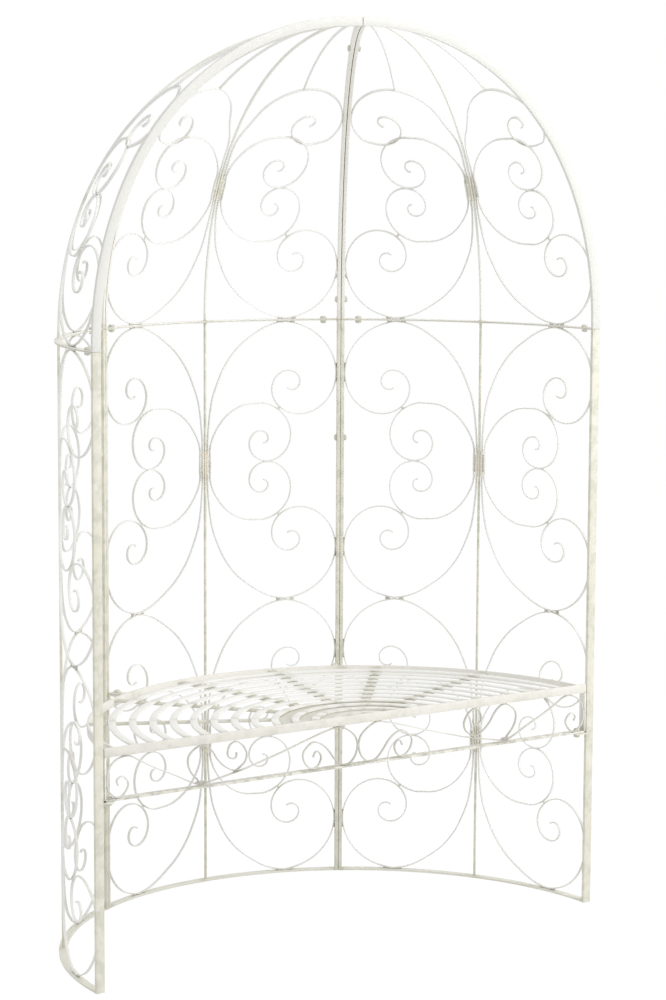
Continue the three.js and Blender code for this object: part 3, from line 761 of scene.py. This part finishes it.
def widest(points):
    return max(points, key=lambda point: point.x)


# Where a scroll meets the rail and the edge bar of its panel, with the lie of its weld
def touchesOf(points, ways):
    top, side = highest(points), widest(points)
    return ([(top.x, way * top.y, 0) for way in ways]
            + [(side.x, way * side.y, 90) for way in ways])


panelOuter = outerHalf(unitReach, lambda rise: panelReach)
panelInner = halfScroll(innerShares, panelReach, unitReach)
panelPair = scrollPair([panelOuter] * 2, [panelInner] * 2, [outerShares] * 2,
                       touchesOf(panelOuter, (1, -1)))
print("panel scrolls drawn:", len(panelPair.data.polygons), "faces")

crown = fitted(halfScroll(crownShares, domeReach(domeKnotArc), domeSpan), domeSpan,
               lambda rise: domeReach(domeKnotArc + rise))
domeOuter = [outerHalf(domeLowerReach, lambda rise: domeReach(domeKnotArc - rise)), crown]
domeInner = [halfScroll(innerShares, panelReach, domeLowerReach),
             halfScroll(innerShares, domeInnerReach, domeInnerSpan)]
domePair = scrollPair(domeOuter, domeInner, [outerShares, crownShares],
                      touchesOf(domeOuter[0], (-1,)))
ontoGore(raised(domePair, domeKnotArc))


# The thin rod that goes on from the large C towards the apex
def sideRodEnds(points):
    lean = math.radians(sideRodDegrees)
    rises = [(domeKnotArc + p.y) / degreeLength for p in points]
    leads = [p.x / domeProfile(rise)[0] - lean for p, rise in zip(points, rises)]
    index = next(i for i, lead in enumerate(leads) if lead > 0)
    share = leads[index - 1] / (leads[index - 1] - leads[index])
    start = rises[index - 1] + share * (rises[index] - rises[index - 1])
    return start, riseWhere((ribReach + stripReach) / math.sin(halfPanel - lean), start)


rodEnds = [rise * degreeLength for rise in sideRodEnds(crown)]
sideRod = flatBar((-stripWidth / 2, rodEnds[0], -halfStrip),
                  (stripWidth / 2, rodEnds[1], halfStrip),
                  cuts=scrolls["sideRodCuts"], alongY=True, soften=softEdges["strip"])
markWelds(sideRod, [at(0, y) for y in rodEnds])
domePair = joined([domePair, ontoMeridian(sideRod, sideRodDegrees)])
print("dome scrolls drawn:", len(domePair.data.polygons), "faces")

panels = {
    "right": {"middle": 30, "halves": {"front": -1, "rear": 1}},
    "back": {"middle": 90, "halves": {"right": -1, "left": 1}},
    "left": {"middle": 150, "halves": {"rear": -1, "front": 1}},
}
units = {"lower": unitHeight / 2, "upper": unitHeight * 1.5}
# The degrees round the axis, and the side that the lugs are on
frontPosts = {"right": (0, 1), "left": (180, -1)}
rearRibs = {"right": (60, 1), "left": (120, -1)}

for panel, facts in panels.items():
    for half, side in facts["halves"].items():
        place = toFrame @ turned(facts["middle"]) @ Matrix.Diagonal((1, side, 1, 1))
        for unit, knotHeight in units.items():
            piece = ontoPanel(raised(copied(panelPair), baseRail + knotHeight))
            finished(moved(piece, place, side < 0),
                     f"{panel}_panel_{unit}_scrolls_{half}", scrollPaint)
        finished(copied(domePair, place, side < 0), f"{panel}_dome_scrolls_{half}",
                 backScrollPaint if panel == "back" else shadedDomeScrollPaint)
print("scrolls hung in panels and gores")


frames = {
    "railCuts": 26,
    "goreBarCuts": 60,
    "seamReach": 0.0004,
    "seamStart": 0.03,
    "tipStain": 0.015,
    "tipSearchStart": 60,
    "mitreThreshold": 0.000001,
    "lugLength": 0.025,
    "lugWidth": 0.018,
    "lugThickness": 0.004,
    "lugStain": 0.005,
    "cornerWeld": (0.005, 0.004, 0.015),
    "footWeld": (0.006, 0.003, 0.0066),
    "footLift": 0.0004,
}
levels = {
    "seatTop": 0.474,
    "seatBarHeight": 0.018,
    "tabDrop": 0.009,
    "apronClearHeight": 0.082,
    "apronBarThickness": 0.004,
}
seatTop = levels["seatTop"]
seatBottom = seatTop - levels["seatBarHeight"]
tabTop = seatTop - levels["tabDrop"]
seatLugTop = tabTop - frames["lugThickness"] - contactGap
apronTop = seatBottom - levels["apronClearHeight"]
apronBottom = apronTop - levels["apronBarThickness"]
apronLugTop = apronBottom - contactGap


def panelRail(bottom, thickness):
    half = insideReach + weldOverlap
    return flatBar((-half, bottom, arbour["railInnerSetback"] - halfBar),
                   (half, bottom + thickness, halfBar - arbour["railOuterSetback"]),
                   cuts=frames["railCuts"], soften=softEdges["rail"])


def cornerWelds(height, way):
    welds = []
    for side in (-1, 1):
        welds.append(bead(at(side * insideReach, height), frames["cornerWeld"]))
        foot = at(side * halfMidBar, height + way * frames["footLift"])
        welds.append(bead(foot, frames["footWeld"]))
    return welds


def weldSpots(*heights):
    return [at(x, y) for y in heights for x in (-insideReach, 0, insideReach)]


def panelFrame():
    height, ringBottom = arbour["railHeight"], arbour["railHeight"] - ringRail
    outside = middleRadius * halfPanel - ribHalfGap - arbour["faceInset"]
    bars = []
    for side in (-1, 1):
        low, high = sideSpan(side, outside, outside - arbour["edgeBarWidth"])
        bars.append(flatBar((low, 0, -halfBar), (high, height, halfBar - arbour["faceInset"]),
                            soften=softEdges["post"]))
    bars.append(flatBar((-halfMidBar, baseRail - weldOverlap, -halfStrip),
                        (halfMidBar, ringBottom + weldOverlap, halfStrip)))
    bars += [panelRail(0, baseRail), panelRail(ringBottom, ringRail)]
    bars += cornerWelds(baseRail, 1) + cornerWelds(ringBottom, -1)
    knots = [at(0, baseRail + knotHeight) for knotHeight in units.values()]
    return ontoPanel(markWelds(joined(bars), weldSpots(baseRail, ringBottom) + knots, "frame"))


# A short flat tab at one side of a rib
def lugBar(start, stop, side, height):
    low, high = sideSpan(side, ribHalfGap, ribHalfGap + frames["lugWidth"])
    return flatBar((start, low, height - frames["lugThickness"]), (stop, high, height))


panelLugs = {
    "right": [(*frontPosts["right"], apronLugTop)],
    "back": [(*rib, seatLugTop) for rib in rearRibs.values()],
    "left": [(*frontPosts["left"], apronLugTop)],
}
panelMaster = panelFrame()
for panel, facts in panels.items():
    pieces = [copied(panelMaster, toFrame @ turned(facts["middle"]))]
    for degrees, side, height in panelLugs[panel]:
        lug = lugBar(innerRadius - frames["lugLength"], innerRadius + weldOverlap, side, height)
        markWelds(lug, [at(innerRadius, side * frames["lugStain"], height)])
        pieces.append(moved(lug, toFrame @ turned(degrees)))
    finished(joined(pieces), f"{panel}_panel_frame", panelPaint)
print("panel frames welded")


# Cuts a bar on the middle plane of its gore, so that the two edge bars are mitred
def mitred(piece, side):
    with editing(piece):
        bpy.ops.mesh.bisect(plane_co=(0, 0, 0), plane_no=(0, side, 0), use_fill=True,
                            clear_inner=True, threshold=frames["mitreThreshold"])
    return piece


def goreFrame():
    topArc = 90 * degreeLength
    bars = []
    for side in (-1, 1):
        low, high = sideSpan(-side, ribHalfGap + arbour["faceInset"], ribReach)
        bar = flatBar((low, 0, -halfBar), (high, topArc, halfBar),
                      cuts=frames["goreBarCuts"], alongY=True, soften=softEdges["rib"])
        markWelds(bar, [at(-side * ribReach, y)
                        for y in (ringRail, topArc - frames["tipStain"])], "frame")
        bars.append(mitred(ontoMeridian(bar, side * halfDegrees), side))
    stop = riseWhere(ribReach / math.sin(halfPanel) - weldOverlap, frames["tipSearchStart"])
    midBar = flatBar((-halfMidBar, ringRail - weldOverlap, -halfStrip),
                     (halfMidBar, stop * degreeLength, halfStrip),
                     cuts=frames["goreBarCuts"], alongY=True)
    markWelds(midBar, [at(0, y) for y in (0, domeKnotArc, stop * degreeLength)])
    bars.append(ontoMeridian(midBar, 0))
    railTop = domeBase + ringRail
    rail = joined([panelRail(domeBase, ringRail), *cornerWelds(railTop, 1)])
    bars.append(ontoPanel(markWelds(rail, weldSpots(railTop), "frame")))
    return joined(bars)


# Marks a gore frame for its paint: brown seams in the two rear ribs, painted shade on the front
# arch
def tintDome(piece):
    axis = toFrame @ at(0, 0)
    rear = [degrees for degrees, side in rearRibs.values()]
    # The brown of the seams is also painted shade of the gap between the ribs
    marks = (("touch", rear, ribHalfGap + frames["seamReach"], frames["seamStart"]),
             ("filler", (0,), ribReach + frames["seamReach"], 0))
    for name, planes, reach, start in marks:
        for vertex, shade in zip(piece.data.vertices, newMark(piece, name)):
            place = vertex.co - axis
            asides = [abs(place.x * math.sin(math.radians(degrees))
                          - place.y * math.cos(math.radians(degrees))) for degrees in planes]
            if min(asides) < reach and math.hypot(place.x, place.y) > start:
                shade.value = 1


goreMaster = goreFrame()
for panel, facts in panels.items():
    piece = copied(goreMaster, toFrame @ turned(facts["middle"]))
    tintDome(piece)
    finished(piece, f"{panel}_dome_frame", domePaint)
print("dome frames welded")


seat = {
    "barThickness": 0.005,
    "centreOffset": 0.047,
    "rimWallGap": 0.020,
    "slatRimGap": 0.042,
    "lastSlatRadius": 0.080,
    "slatWidth": 0.015,
    "slatThickness": 0.004,
    "slatCount": 12,
    "supportWidth": 0.018,
    "supportThickness": 0.004,
    "supportEndGap": 0.0010,
    "supportDegrees": tuple(180 / 7 * arm for arm in range(1, 7)),
    "hubRadius": 0.165,
    "hubSides": 64,
    "hubInset": 0.00015,
    "postClearance": 0.002,
    "tabEndGap": 0.004,
    "ringSteps": 96,
    "leastRingSteps": 36,
    "mergeDistance": 0.00001,
    "slatWeld": (0.006, 0.004, 0.0035),
    "slatWeldInset": 0.003,
    "underWeld": (0.0045, 0.010, 0.003),
    "weldDrop": 0.001,
    "rimWeld": (0.004, 0.005, 0.016),
    "rimWeldInset": 0.0055,
}
rimRadius = math.hypot(innerRadius - seat["rimWallGap"], seat["centreOffset"])
barFront = ribHalfGap
barBack = barFront + seat["barThickness"]
barHalf = innerRadius - seat["postClearance"]


# How far a ring of the seat lies from the axis of the arbour in one direction. The
# rings have their centre in front of that axis.
def ringReach(radius, degrees):
    angle = math.radians(degrees)
    across = seat["centreOffset"] * math.cos(angle)
    return math.sqrt(radius ** 2 - across ** 2) - seat["centreOffset"] * math.sin(angle)


def ringEnd(radius, back):
    return math.sqrt(radius ** 2 - (back + seat["centreOffset"]) ** 2)


# A ring of flat bar: one section is spun round and both ends are cut straight
def halfRing(outer, inner, bottom, height, back):
    freeHands()
    centre = ((outer + inner) / 2, 0, (bottom + height) / 2)
    bpy.ops.mesh.primitive_plane_add(size=1, location=centre, rotation=(math.pi / 2, 0, 0))
    bpy.context.object.scale = (outer - inner, height - bottom, 1)
    ring = settledOrigin(bpy.context.object)
    steps = max(round(seat["ringSteps"] * outer / rimRadius), seat["leastRingSteps"])
    with editing(ring):
        bpy.ops.mesh.spin(steps=steps, angle=-math.pi, center=(0, 0, 0), axis=(0, 0, 1))
        bpy.ops.mesh.select_all(action="SELECT")
        bpy.ops.mesh.remove_doubles(threshold=seat["mergeDistance"])
        bpy.ops.transform.translate(value=(0, -seat["centreOffset"], 0))
        bpy.ops.mesh.bisect(plane_co=(0, back, 0), plane_no=(0, 1, 0),
                            use_fill=True, clear_inner=True)
    return softened(outwardFaces(ring))


firstSlatRadius = rimRadius - seat["slatRimGap"]
slatPitch = (firstSlatRadius - seat["lastSlatRadius"]) / (seat["slatCount"] - 1)
slatRadii = [firstSlatRadius - index * slatPitch for index in range(seat["slatCount"])]
slatBack = barBack + contactGap
slatBottom = seatTop - seat["slatThickness"]
for number, outer in enumerate(slatRadii, 1):
    inner = outer - seat["slatWidth"]
    middle = (outer + inner) / 2
    pieces = [halfRing(outer, inner, slatBottom, seatTop, slatBack)]
    spots = []
    for side in (-1, 1):
        spots.append(at(side * ringEnd(middle, slatBack), slatBack, slatBottom))
        weldX = side * (ringEnd(outer, slatBack) - seat["slatWeldInset"])
        place = at(weldX, slatBack + seat["weldDrop"], slatBottom)
        pieces.append(bead(place, seat["slatWeld"]))
    spots += [towards(degrees) * ringReach(middle, degrees) + at(0, 0, slatBottom)
              for degrees in seat["supportDegrees"]]
    weldedUp(pieces, spots, "slat", f"seat_slat_{number}", seatPaint)
print("slats rolled:", seat["slatCount"])

rimEnd = ringEnd(rimRadius, barBack)
seatPieces = [
    flatBar((-barHalf, barFront, seatBottom), (barHalf, barBack, seatTop)),
    halfRing(rimRadius, rimRadius - seat["barThickness"], seatBottom, seatTop,
             barBack - weldOverlap),
]
rimSpots = [at(side * rimEnd, barBack, seatBottom) for side in (-1, 1)]
for degrees, side in rearRibs.values():
    rim = ringReach(rimRadius, degrees)
    tab = lugBar(rim - seat["barThickness"] / 2, innerRadius - seat["tabEndGap"], side, tabTop)
    seatPieces.append(moved(tab, turned(degrees)))
    rimSpots.append(towards(degrees) * rim + at(0, 0, tabTop))
for side in (-1, 1):
    weld = at(side * (rimEnd - seat["rimWeldInset"]), barBack,
              seatBottom + levels["seatBarHeight"] / 2)
    seatPieces.append(bead(weld, seat["rimWeld"]))
weldedUp(seatPieces, rimSpots, "rim", "seat_frame", barPaint)

supportTop = slatBottom - contactGap
supportBottom = supportTop - seat["supportThickness"]
supportHalf = seat["supportWidth"] / 2
hub = made(bpy.ops.mesh.primitive_circle_add, vertices=seat["hubSides"],
           radius=seat["hubRadius"], fill_type="NGON",
           location=(0, 0, supportBottom + seat["hubInset"]))
with editing(hub):
    bpy.ops.mesh.bisect(plane_co=(0, slatBack, 0), plane_no=(0, 1, 0), clear_inner=True)
    bpy.ops.mesh.select_all(action="SELECT")
    pulledOut((0, 0, seat["supportThickness"] - 2 * seat["hubInset"]))
supportPieces, spots = [softened(outwardFaces(hub))], []
for degrees in seat["supportDegrees"]:
    armEnd = ringReach(rimRadius - seat["barThickness"], degrees) - seat["supportEndGap"]
    arm = flatBar((seat["hubRadius"] - seat["supportWidth"], -supportHalf, supportBottom),
                  (armEnd, supportHalf, supportTop))
    supportPieces.append(moved(arm, turned(degrees)))
    direction = towards(degrees)
    across = at(-direction.y, direction.x) * supportHalf
    for outer in slatRadii:
        middle = ringReach(outer - seat["slatWidth"] / 2, degrees)
        spots.append(direction * middle + at(0, 0, supportTop))
        if middle < seat["hubRadius"]:
            continue
        for way in (-1, 1):
            place = direction * middle + across * way + at(0, 0, supportTop - seat["weldDrop"])
            supportPieces.append(bead(place, seat["underWeld"], degrees + 90))
weldedUp(supportPieces, spots, "support", "seat_support_bars", supportPaint)
print("seat welded")


apron = {
    "barDepth": 0.018,
    "uprightThickness": 0.004,
    "rodSteps": (84, 96, 150),
    "restWeld": (0.016, 0.0034, 0.0042),
    "crossWeld": (0.007, 0.0043),
    "footWeld": (0.003, 0.016, 0.003),
}
apronRods = [
    [(0.956, 0.29), (0.962, 0.42), (0.942, 0.51), (0.926, 0.43), (0.917, 0.30),
     (0.926, 0.15), (0.942, 0.03), (0.958, 0.00), (0.976, 0.06), (0.994, 0.22),
     (1.000, 0.40), (0.996, 0.60), (0.986, 0.78), (0.963, 0.93), (0.930, 1.00),
     (0.906, 0.97), (0.875, 0.84), (0.808, 0.58), (0.750, 0.39), (0.684, 0.15),
     (0.648, 0.03)],
    [(0.640, 0.04), (0.651, 0.16), (0.674, 0.34), (0.687, 0.55), (0.685, 0.77),
     (0.655, 0.96), (0.628, 1.00), (0.605, 0.91), (0.589, 0.79), (0.570, 0.58),
     (0.540, 0.38), (0.503, 0.26), (0.480, 0.34), (0.462, 0.45), (0.455, 0.62),
     (0.462, 0.77), (0.480, 0.92), (0.499, 0.98), (0.520, 0.93), (0.529, 0.82),
     (0.531, 0.66), (0.517, 0.57), (0.499, 0.58), (0.496, 0.71)],
    [(0.632, 0.03), (0.462, 0.27), (0.409, 0.37), (0.340, 0.50), (0.272, 0.64),
     (0.203, 0.79), (0.120, 0.95), (0.076, 1.00), (0.051, 0.93), (0.027, 0.82),
     (0.008, 0.68), (0.000, 0.49), (0.003, 0.31), (0.014, 0.15), (0.032, 0.03),
     (0.056, 0.00), (0.081, 0.08), (0.102, 0.24), (0.124, 0.45), (0.148, 0.60),
     (0.173, 0.68), (0.187, 0.69), (0.206, 0.61), (0.226, 0.45), (0.224, 0.26),
     (0.206, 0.08), (0.185, 0.02), (0.164, 0.08), (0.152, 0.30), (0.168, 0.45),
     (0.180, 0.40), (0.185, 0.30)],
]
apronWelds = [((0.641, 0.08), 0.026), ((0.503, 0.235), 0.007)]


def apronPoint(along, up):
    least = stripWidth / 2 + contactGap / 2
    most = barHalf - apron["uprightThickness"] - stripReach
    low, high = apronTop + stripReach, seatBottom - stripReach
    return at(least + along * (most - least), low + up * (high - low))


rods, spots = [], []
for rod, steps in zip(apronRods, apron["rodSteps"]):
    path = smoothLine([apronPoint(*share) for share in rod], steps)
    rods.append(drawnStrip(path, stripWidth, seat["barThickness"]))
    for spot in (highest(path), lowest(path)):
        rods.append(bead(spot, apron["restWeld"]))
        spots.append(spot)
for share, length in apronWelds:
    spot = apronPoint(*share)
    rods.append(bead(spot, (length, *apron["crossWeld"])))
    spots.append(spot)
apronMaster = markWelds(joined(rods), spots)
upright = Matrix.Rotation(math.pi / 2, 4, "X")
inPlane = Matrix.Translation((0, barFront + seat["barThickness"] / 2, 0))
for name, side in (("right", 1), ("left", -1)):
    place = toFrame @ inPlane @ Matrix.Diagonal((side, 1, 1, 1)) @ upright
    finished(copied(apronMaster, place, side < 0), f"apron_scrolls_{name}", apronPaint)

apronBack = barFront + apron["barDepth"]
apronMiddle = barFront + apron["barDepth"] / 2
uprightInside = barHalf - apron["uprightThickness"]
apronBars = [flatBar((-barHalf, barFront, apronBottom), (barHalf, apronBack, apronTop))]
for side in (-1, 1):
    low, high = sideSpan(side, barHalf, uprightInside)
    apronBars.append(flatBar((low, barFront, apronBottom),
                             (high, apronBack, seatBottom - contactGap)))
    apronBars.append(bead(at(side * uprightInside, apronMiddle, apronTop), apron["footWeld"]))
corners = [at(side * barHalf, barFront, apronTop) for side in (-1, 1)]
weldedUp(apronBars, corners, "frame", "apron_frame", seatPaint)
print("apron welded")


bolt = {
    "shankRadius": 0.003,
    "headRadius": 0.007,
    "headHeight": 0.005,
    "headBaseShare": 0.3,
    "headSteps": ((0.30, 0.90), (0.24, 0.80), (0.11, 0.62), (0.04, 0.40)),
    "nutRadius": 0.0065,
    "nutHeight": 0.006,
    "nutBodyShare": 0.8,
    "nutSides": 6,
    "sides": 32,
    "railOffset": 0.038,
    "ribHeights": (0.324, 0.965),
    "domeDegrees": (4, 66),
    "lugInset": 0.008,
    "lugSetback": 0.0115,
}


def cylinder(sides, radius, depth, height):
    return made(bpy.ops.mesh.primitive_cylinder_add, vertices=sides, radius=radius,
                depth=depth, location=(0, 0, height))


# A crowned head above, a six-sided nut below, about the middle of the grip
def boltWith(grip):
    half = grip / 2 + contactGap
    headBase = bolt["headHeight"] * bolt["headBaseShare"]
    nutBody = bolt["nutHeight"] * bolt["nutBodyShare"]
    head = cylinder(bolt["sides"], bolt["headRadius"], headBase, half + headBase / 2)
    with editing(head, "FACE"):
        bpy.ops.mesh.select_all(action="DESELECT")
        shape = bmesh.from_edit_mesh(head.data)
        for face in shape.faces:
            face.select_set(face.normal.z > alongLimit)
        bmesh.update_edit_mesh(head.data)
        for lift, shrink in bolt["headSteps"]:
            pulledOut((0, 0, bolt["headHeight"] * lift))
            bpy.ops.transform.resize(value=(shrink, shrink, 1), center_override=(0, 0, 0))
    nut = cylinder(bolt["nutSides"], bolt["nutRadius"], nutBody, -half - nutBody / 2)
    softened(nut, softEdges["bolt"])
    shank = cylinder(bolt["sides"], bolt["shankRadius"],
                     2 * half + bolt["nutHeight"] + weldOverlap,
                     (weldOverlap - bolt["nutHeight"]) / 2)
    softened(shank, softEdges["bolt"])
    return markWelds(joined([head, nut, shank]), [at(0, 0, half), at(0, 0, -half)], "bolt")


def setBolt(master, node, degrees, place, tilt=Matrix()):
    place = toFrame @ (turned(degrees) @ Matrix.Translation(place) @ tilt)
    finished(copied(master, place), node, boltPaint)


railBolt = boltWith(2 * ringRail + contactGap)
ribBolt = boltWith(2 * ribReach)
lugBolt = boltWith(2 * frames["lugThickness"] + contactGap)
railMiddle = arbour["railHeight"] + contactGap / 2
railTurn = math.degrees(bolt["railOffset"] / middleRadius)
for panel, facts in panels.items():
    for number, degrees in enumerate((railTurn - halfDegrees, halfDegrees - railTurn), 1):
        setBolt(railBolt, f"{panel}_rail_bolt_{number}", facts["middle"] + degrees,
                (middleRadius, 0, railMiddle))

layDown = Matrix.Rotation(-math.pi / 2, 4, "X")
for name, (degrees, side) in rearRibs.items():
    for number, height in enumerate(bolt["ribHeights"], 1):
        place = (middleRadius, 0, height)
        setBolt(ribBolt, f"{name}_rib_bolt_{number}", degrees, place, layDown)
    for number, rise in enumerate(bolt["domeDegrees"], 1):
        radius, height = domeProfile(rise)
        place = (radius, 0, domeBase + height)
        setBolt(ribBolt, f"{name}_dome_bolt_{number}", degrees, place, layDown)

lugRadius = innerRadius - frames["lugLength"] + bolt["lugInset"]
lugShift = ribHalfGap + bolt["lugSetback"]
for part, places, lugTop, upperTop in (("seat", rearRibs, seatLugTop, tabTop),
                                       ("apron", frontPosts, apronLugTop, apronTop)):
    height = (lugTop + upperTop) / 2 - frames["lugThickness"] / 2
    for name, (degrees, side) in places.items():
        setBolt(lugBolt, f"{part}_bolt_{name}", degrees, (lugRadius, side * lugShift, height))
print("bolts tightened")

for master in (beadMaster, panelPair, domePair, panelMaster, goreMaster, apronMaster,
               railBolt, ribBolt, lugBolt):
    bpy.data.objects.remove(master)


stage = {
    "floorSize": 40,
    "floorLevel": -0.0005,
    "floorCuts": 3,
    "floorColour": (0.9, 0.9, 0.9),
    "floorRoughness": 0.9,
    "floorGlow": 0.86,
    "glowStrength": 1.05,
    "worldLight": 0.72,
    "aim": (0, 0, 0.9),
}
lamps = {
    "key": {"power": 95, "size": 2.2, "place": (3.0, -3.5, 3.0)},
    "fill": {"power": 10, "size": 3, "place": (-3.5, -4.0, 2.5)},
    "top": {"power": 28, "size": 3, "place": (0, -1.5, 4.6)},
}
floor = made(bpy.ops.mesh.primitive_plane_add, size=stage["floorSize"],
             location=(0, 0, stage["floorLevel"]))
floor.name = "floor"
with editing(floor):
    bpy.ops.mesh.subdivide(number_cuts=stage["floorCuts"])


# True for rays from the camera, also by way of a shiny or a clear surface
def seenRays(tree):
    seen = shaderNode(tree, "LightPath", "Is Camera Ray", {})
    path = seen.node.outputs
    for kind in ("Is Glossy Ray", "Is Transmission Ray"):
        seen = shaderNode(tree, "Math", "Value", {0: seen, 1: path[kind]}, operation="MAXIMUM")
    return seen


floorPaint = bpy.data.materials.new("floorPaint")
floorPaint.use_nodes = True
tree = floorPaint.node_tree
matt = tree.nodes["Principled BSDF"]
feed(tree, matt.inputs["Base Color"], stage["floorColour"])
feed(tree, matt.inputs["Roughness"], stage["floorRoughness"])
glow = shaderNode(tree, "Emission", "Emission", {"Strength": stage["glowStrength"]})
share = shaderNode(tree, "Math", "Value", {0: seenRays(tree), 1: stage["floorGlow"]},
                   operation="MULTIPLY")
blend = shaderNode(tree, "MixShader", "Shader", {"Fac": share, 1: matt.outputs["BSDF"], 2: glow})
feed(tree, tree.nodes["Material Output"].inputs["Surface"], blend)
floor.data.materials.append(floorPaint)

world = bpy.data.worlds.new("softRoom")
bpy.context.scene.world = world
world.use_nodes = True
tree = world.node_tree
sky = tree.nodes["Background"].inputs
feed(tree, sky["Color"], (1, 1, 1))
feed(tree, sky["Strength"], shaderNode(tree, "MapRange", "Result", {
    "To Min": stage["worldLight"], "To Max": 1, "Value": seenRays(tree)}))

for name, facts in lamps.items():
    freeHands()
    place = Vector(facts["place"])
    bpy.ops.object.light_add(type="AREA", location=place)
    lamp = bpy.context.object
    lamp.name = name + "Light"
    lamp.data.energy = facts["power"]
    lamp.data.size = facts["size"]
    lamp.rotation_euler = (Vector(stage["aim"]) - place).to_track_quat("-Z", "Y").to_euler()

camera = {
    "place": (-3.15327, -4.91179, 1.64831),
    "yaw": 0.590046,
    "pitch": -0.132154,
    "roll": 0.00474,
    "focalPixels": 2854,
    "imageHeight": 1000,
    "sensor": 36,
    "clipEnd": 60,
}
yaw, pitch, roll = camera["yaw"], camera["pitch"], camera["roll"]
ahead = at(math.sin(yaw) * math.cos(pitch), math.cos(yaw) * math.cos(pitch), math.sin(pitch))
right = at(math.cos(yaw), -math.sin(yaw))
up = right.cross(ahead)
tiltedRight = right * math.cos(roll) + up * math.sin(roll)
tiltedUp = up * math.cos(roll) - right * math.sin(roll)
freeHands()
bpy.ops.object.camera_add()
eye = bpy.context.object
eye.name = "photographCamera"
eye.matrix_world = Matrix.Translation(camera["place"]) @ Matrix(
    (tiltedRight, tiltedUp, -ahead)).transposed().to_4x4()
eye.data.sensor_fit = "VERTICAL"
eye.data.sensor_height = camera["sensor"]
eye.data.lens = camera["focalPixels"] / camera["imageHeight"] * camera["sensor"]
eye.data.clip_end = camera["clipEnd"]
bpy.context.scene.camera = eye
bpy.context.scene.view_settings.view_transform = "Standard"
print("stage lit")
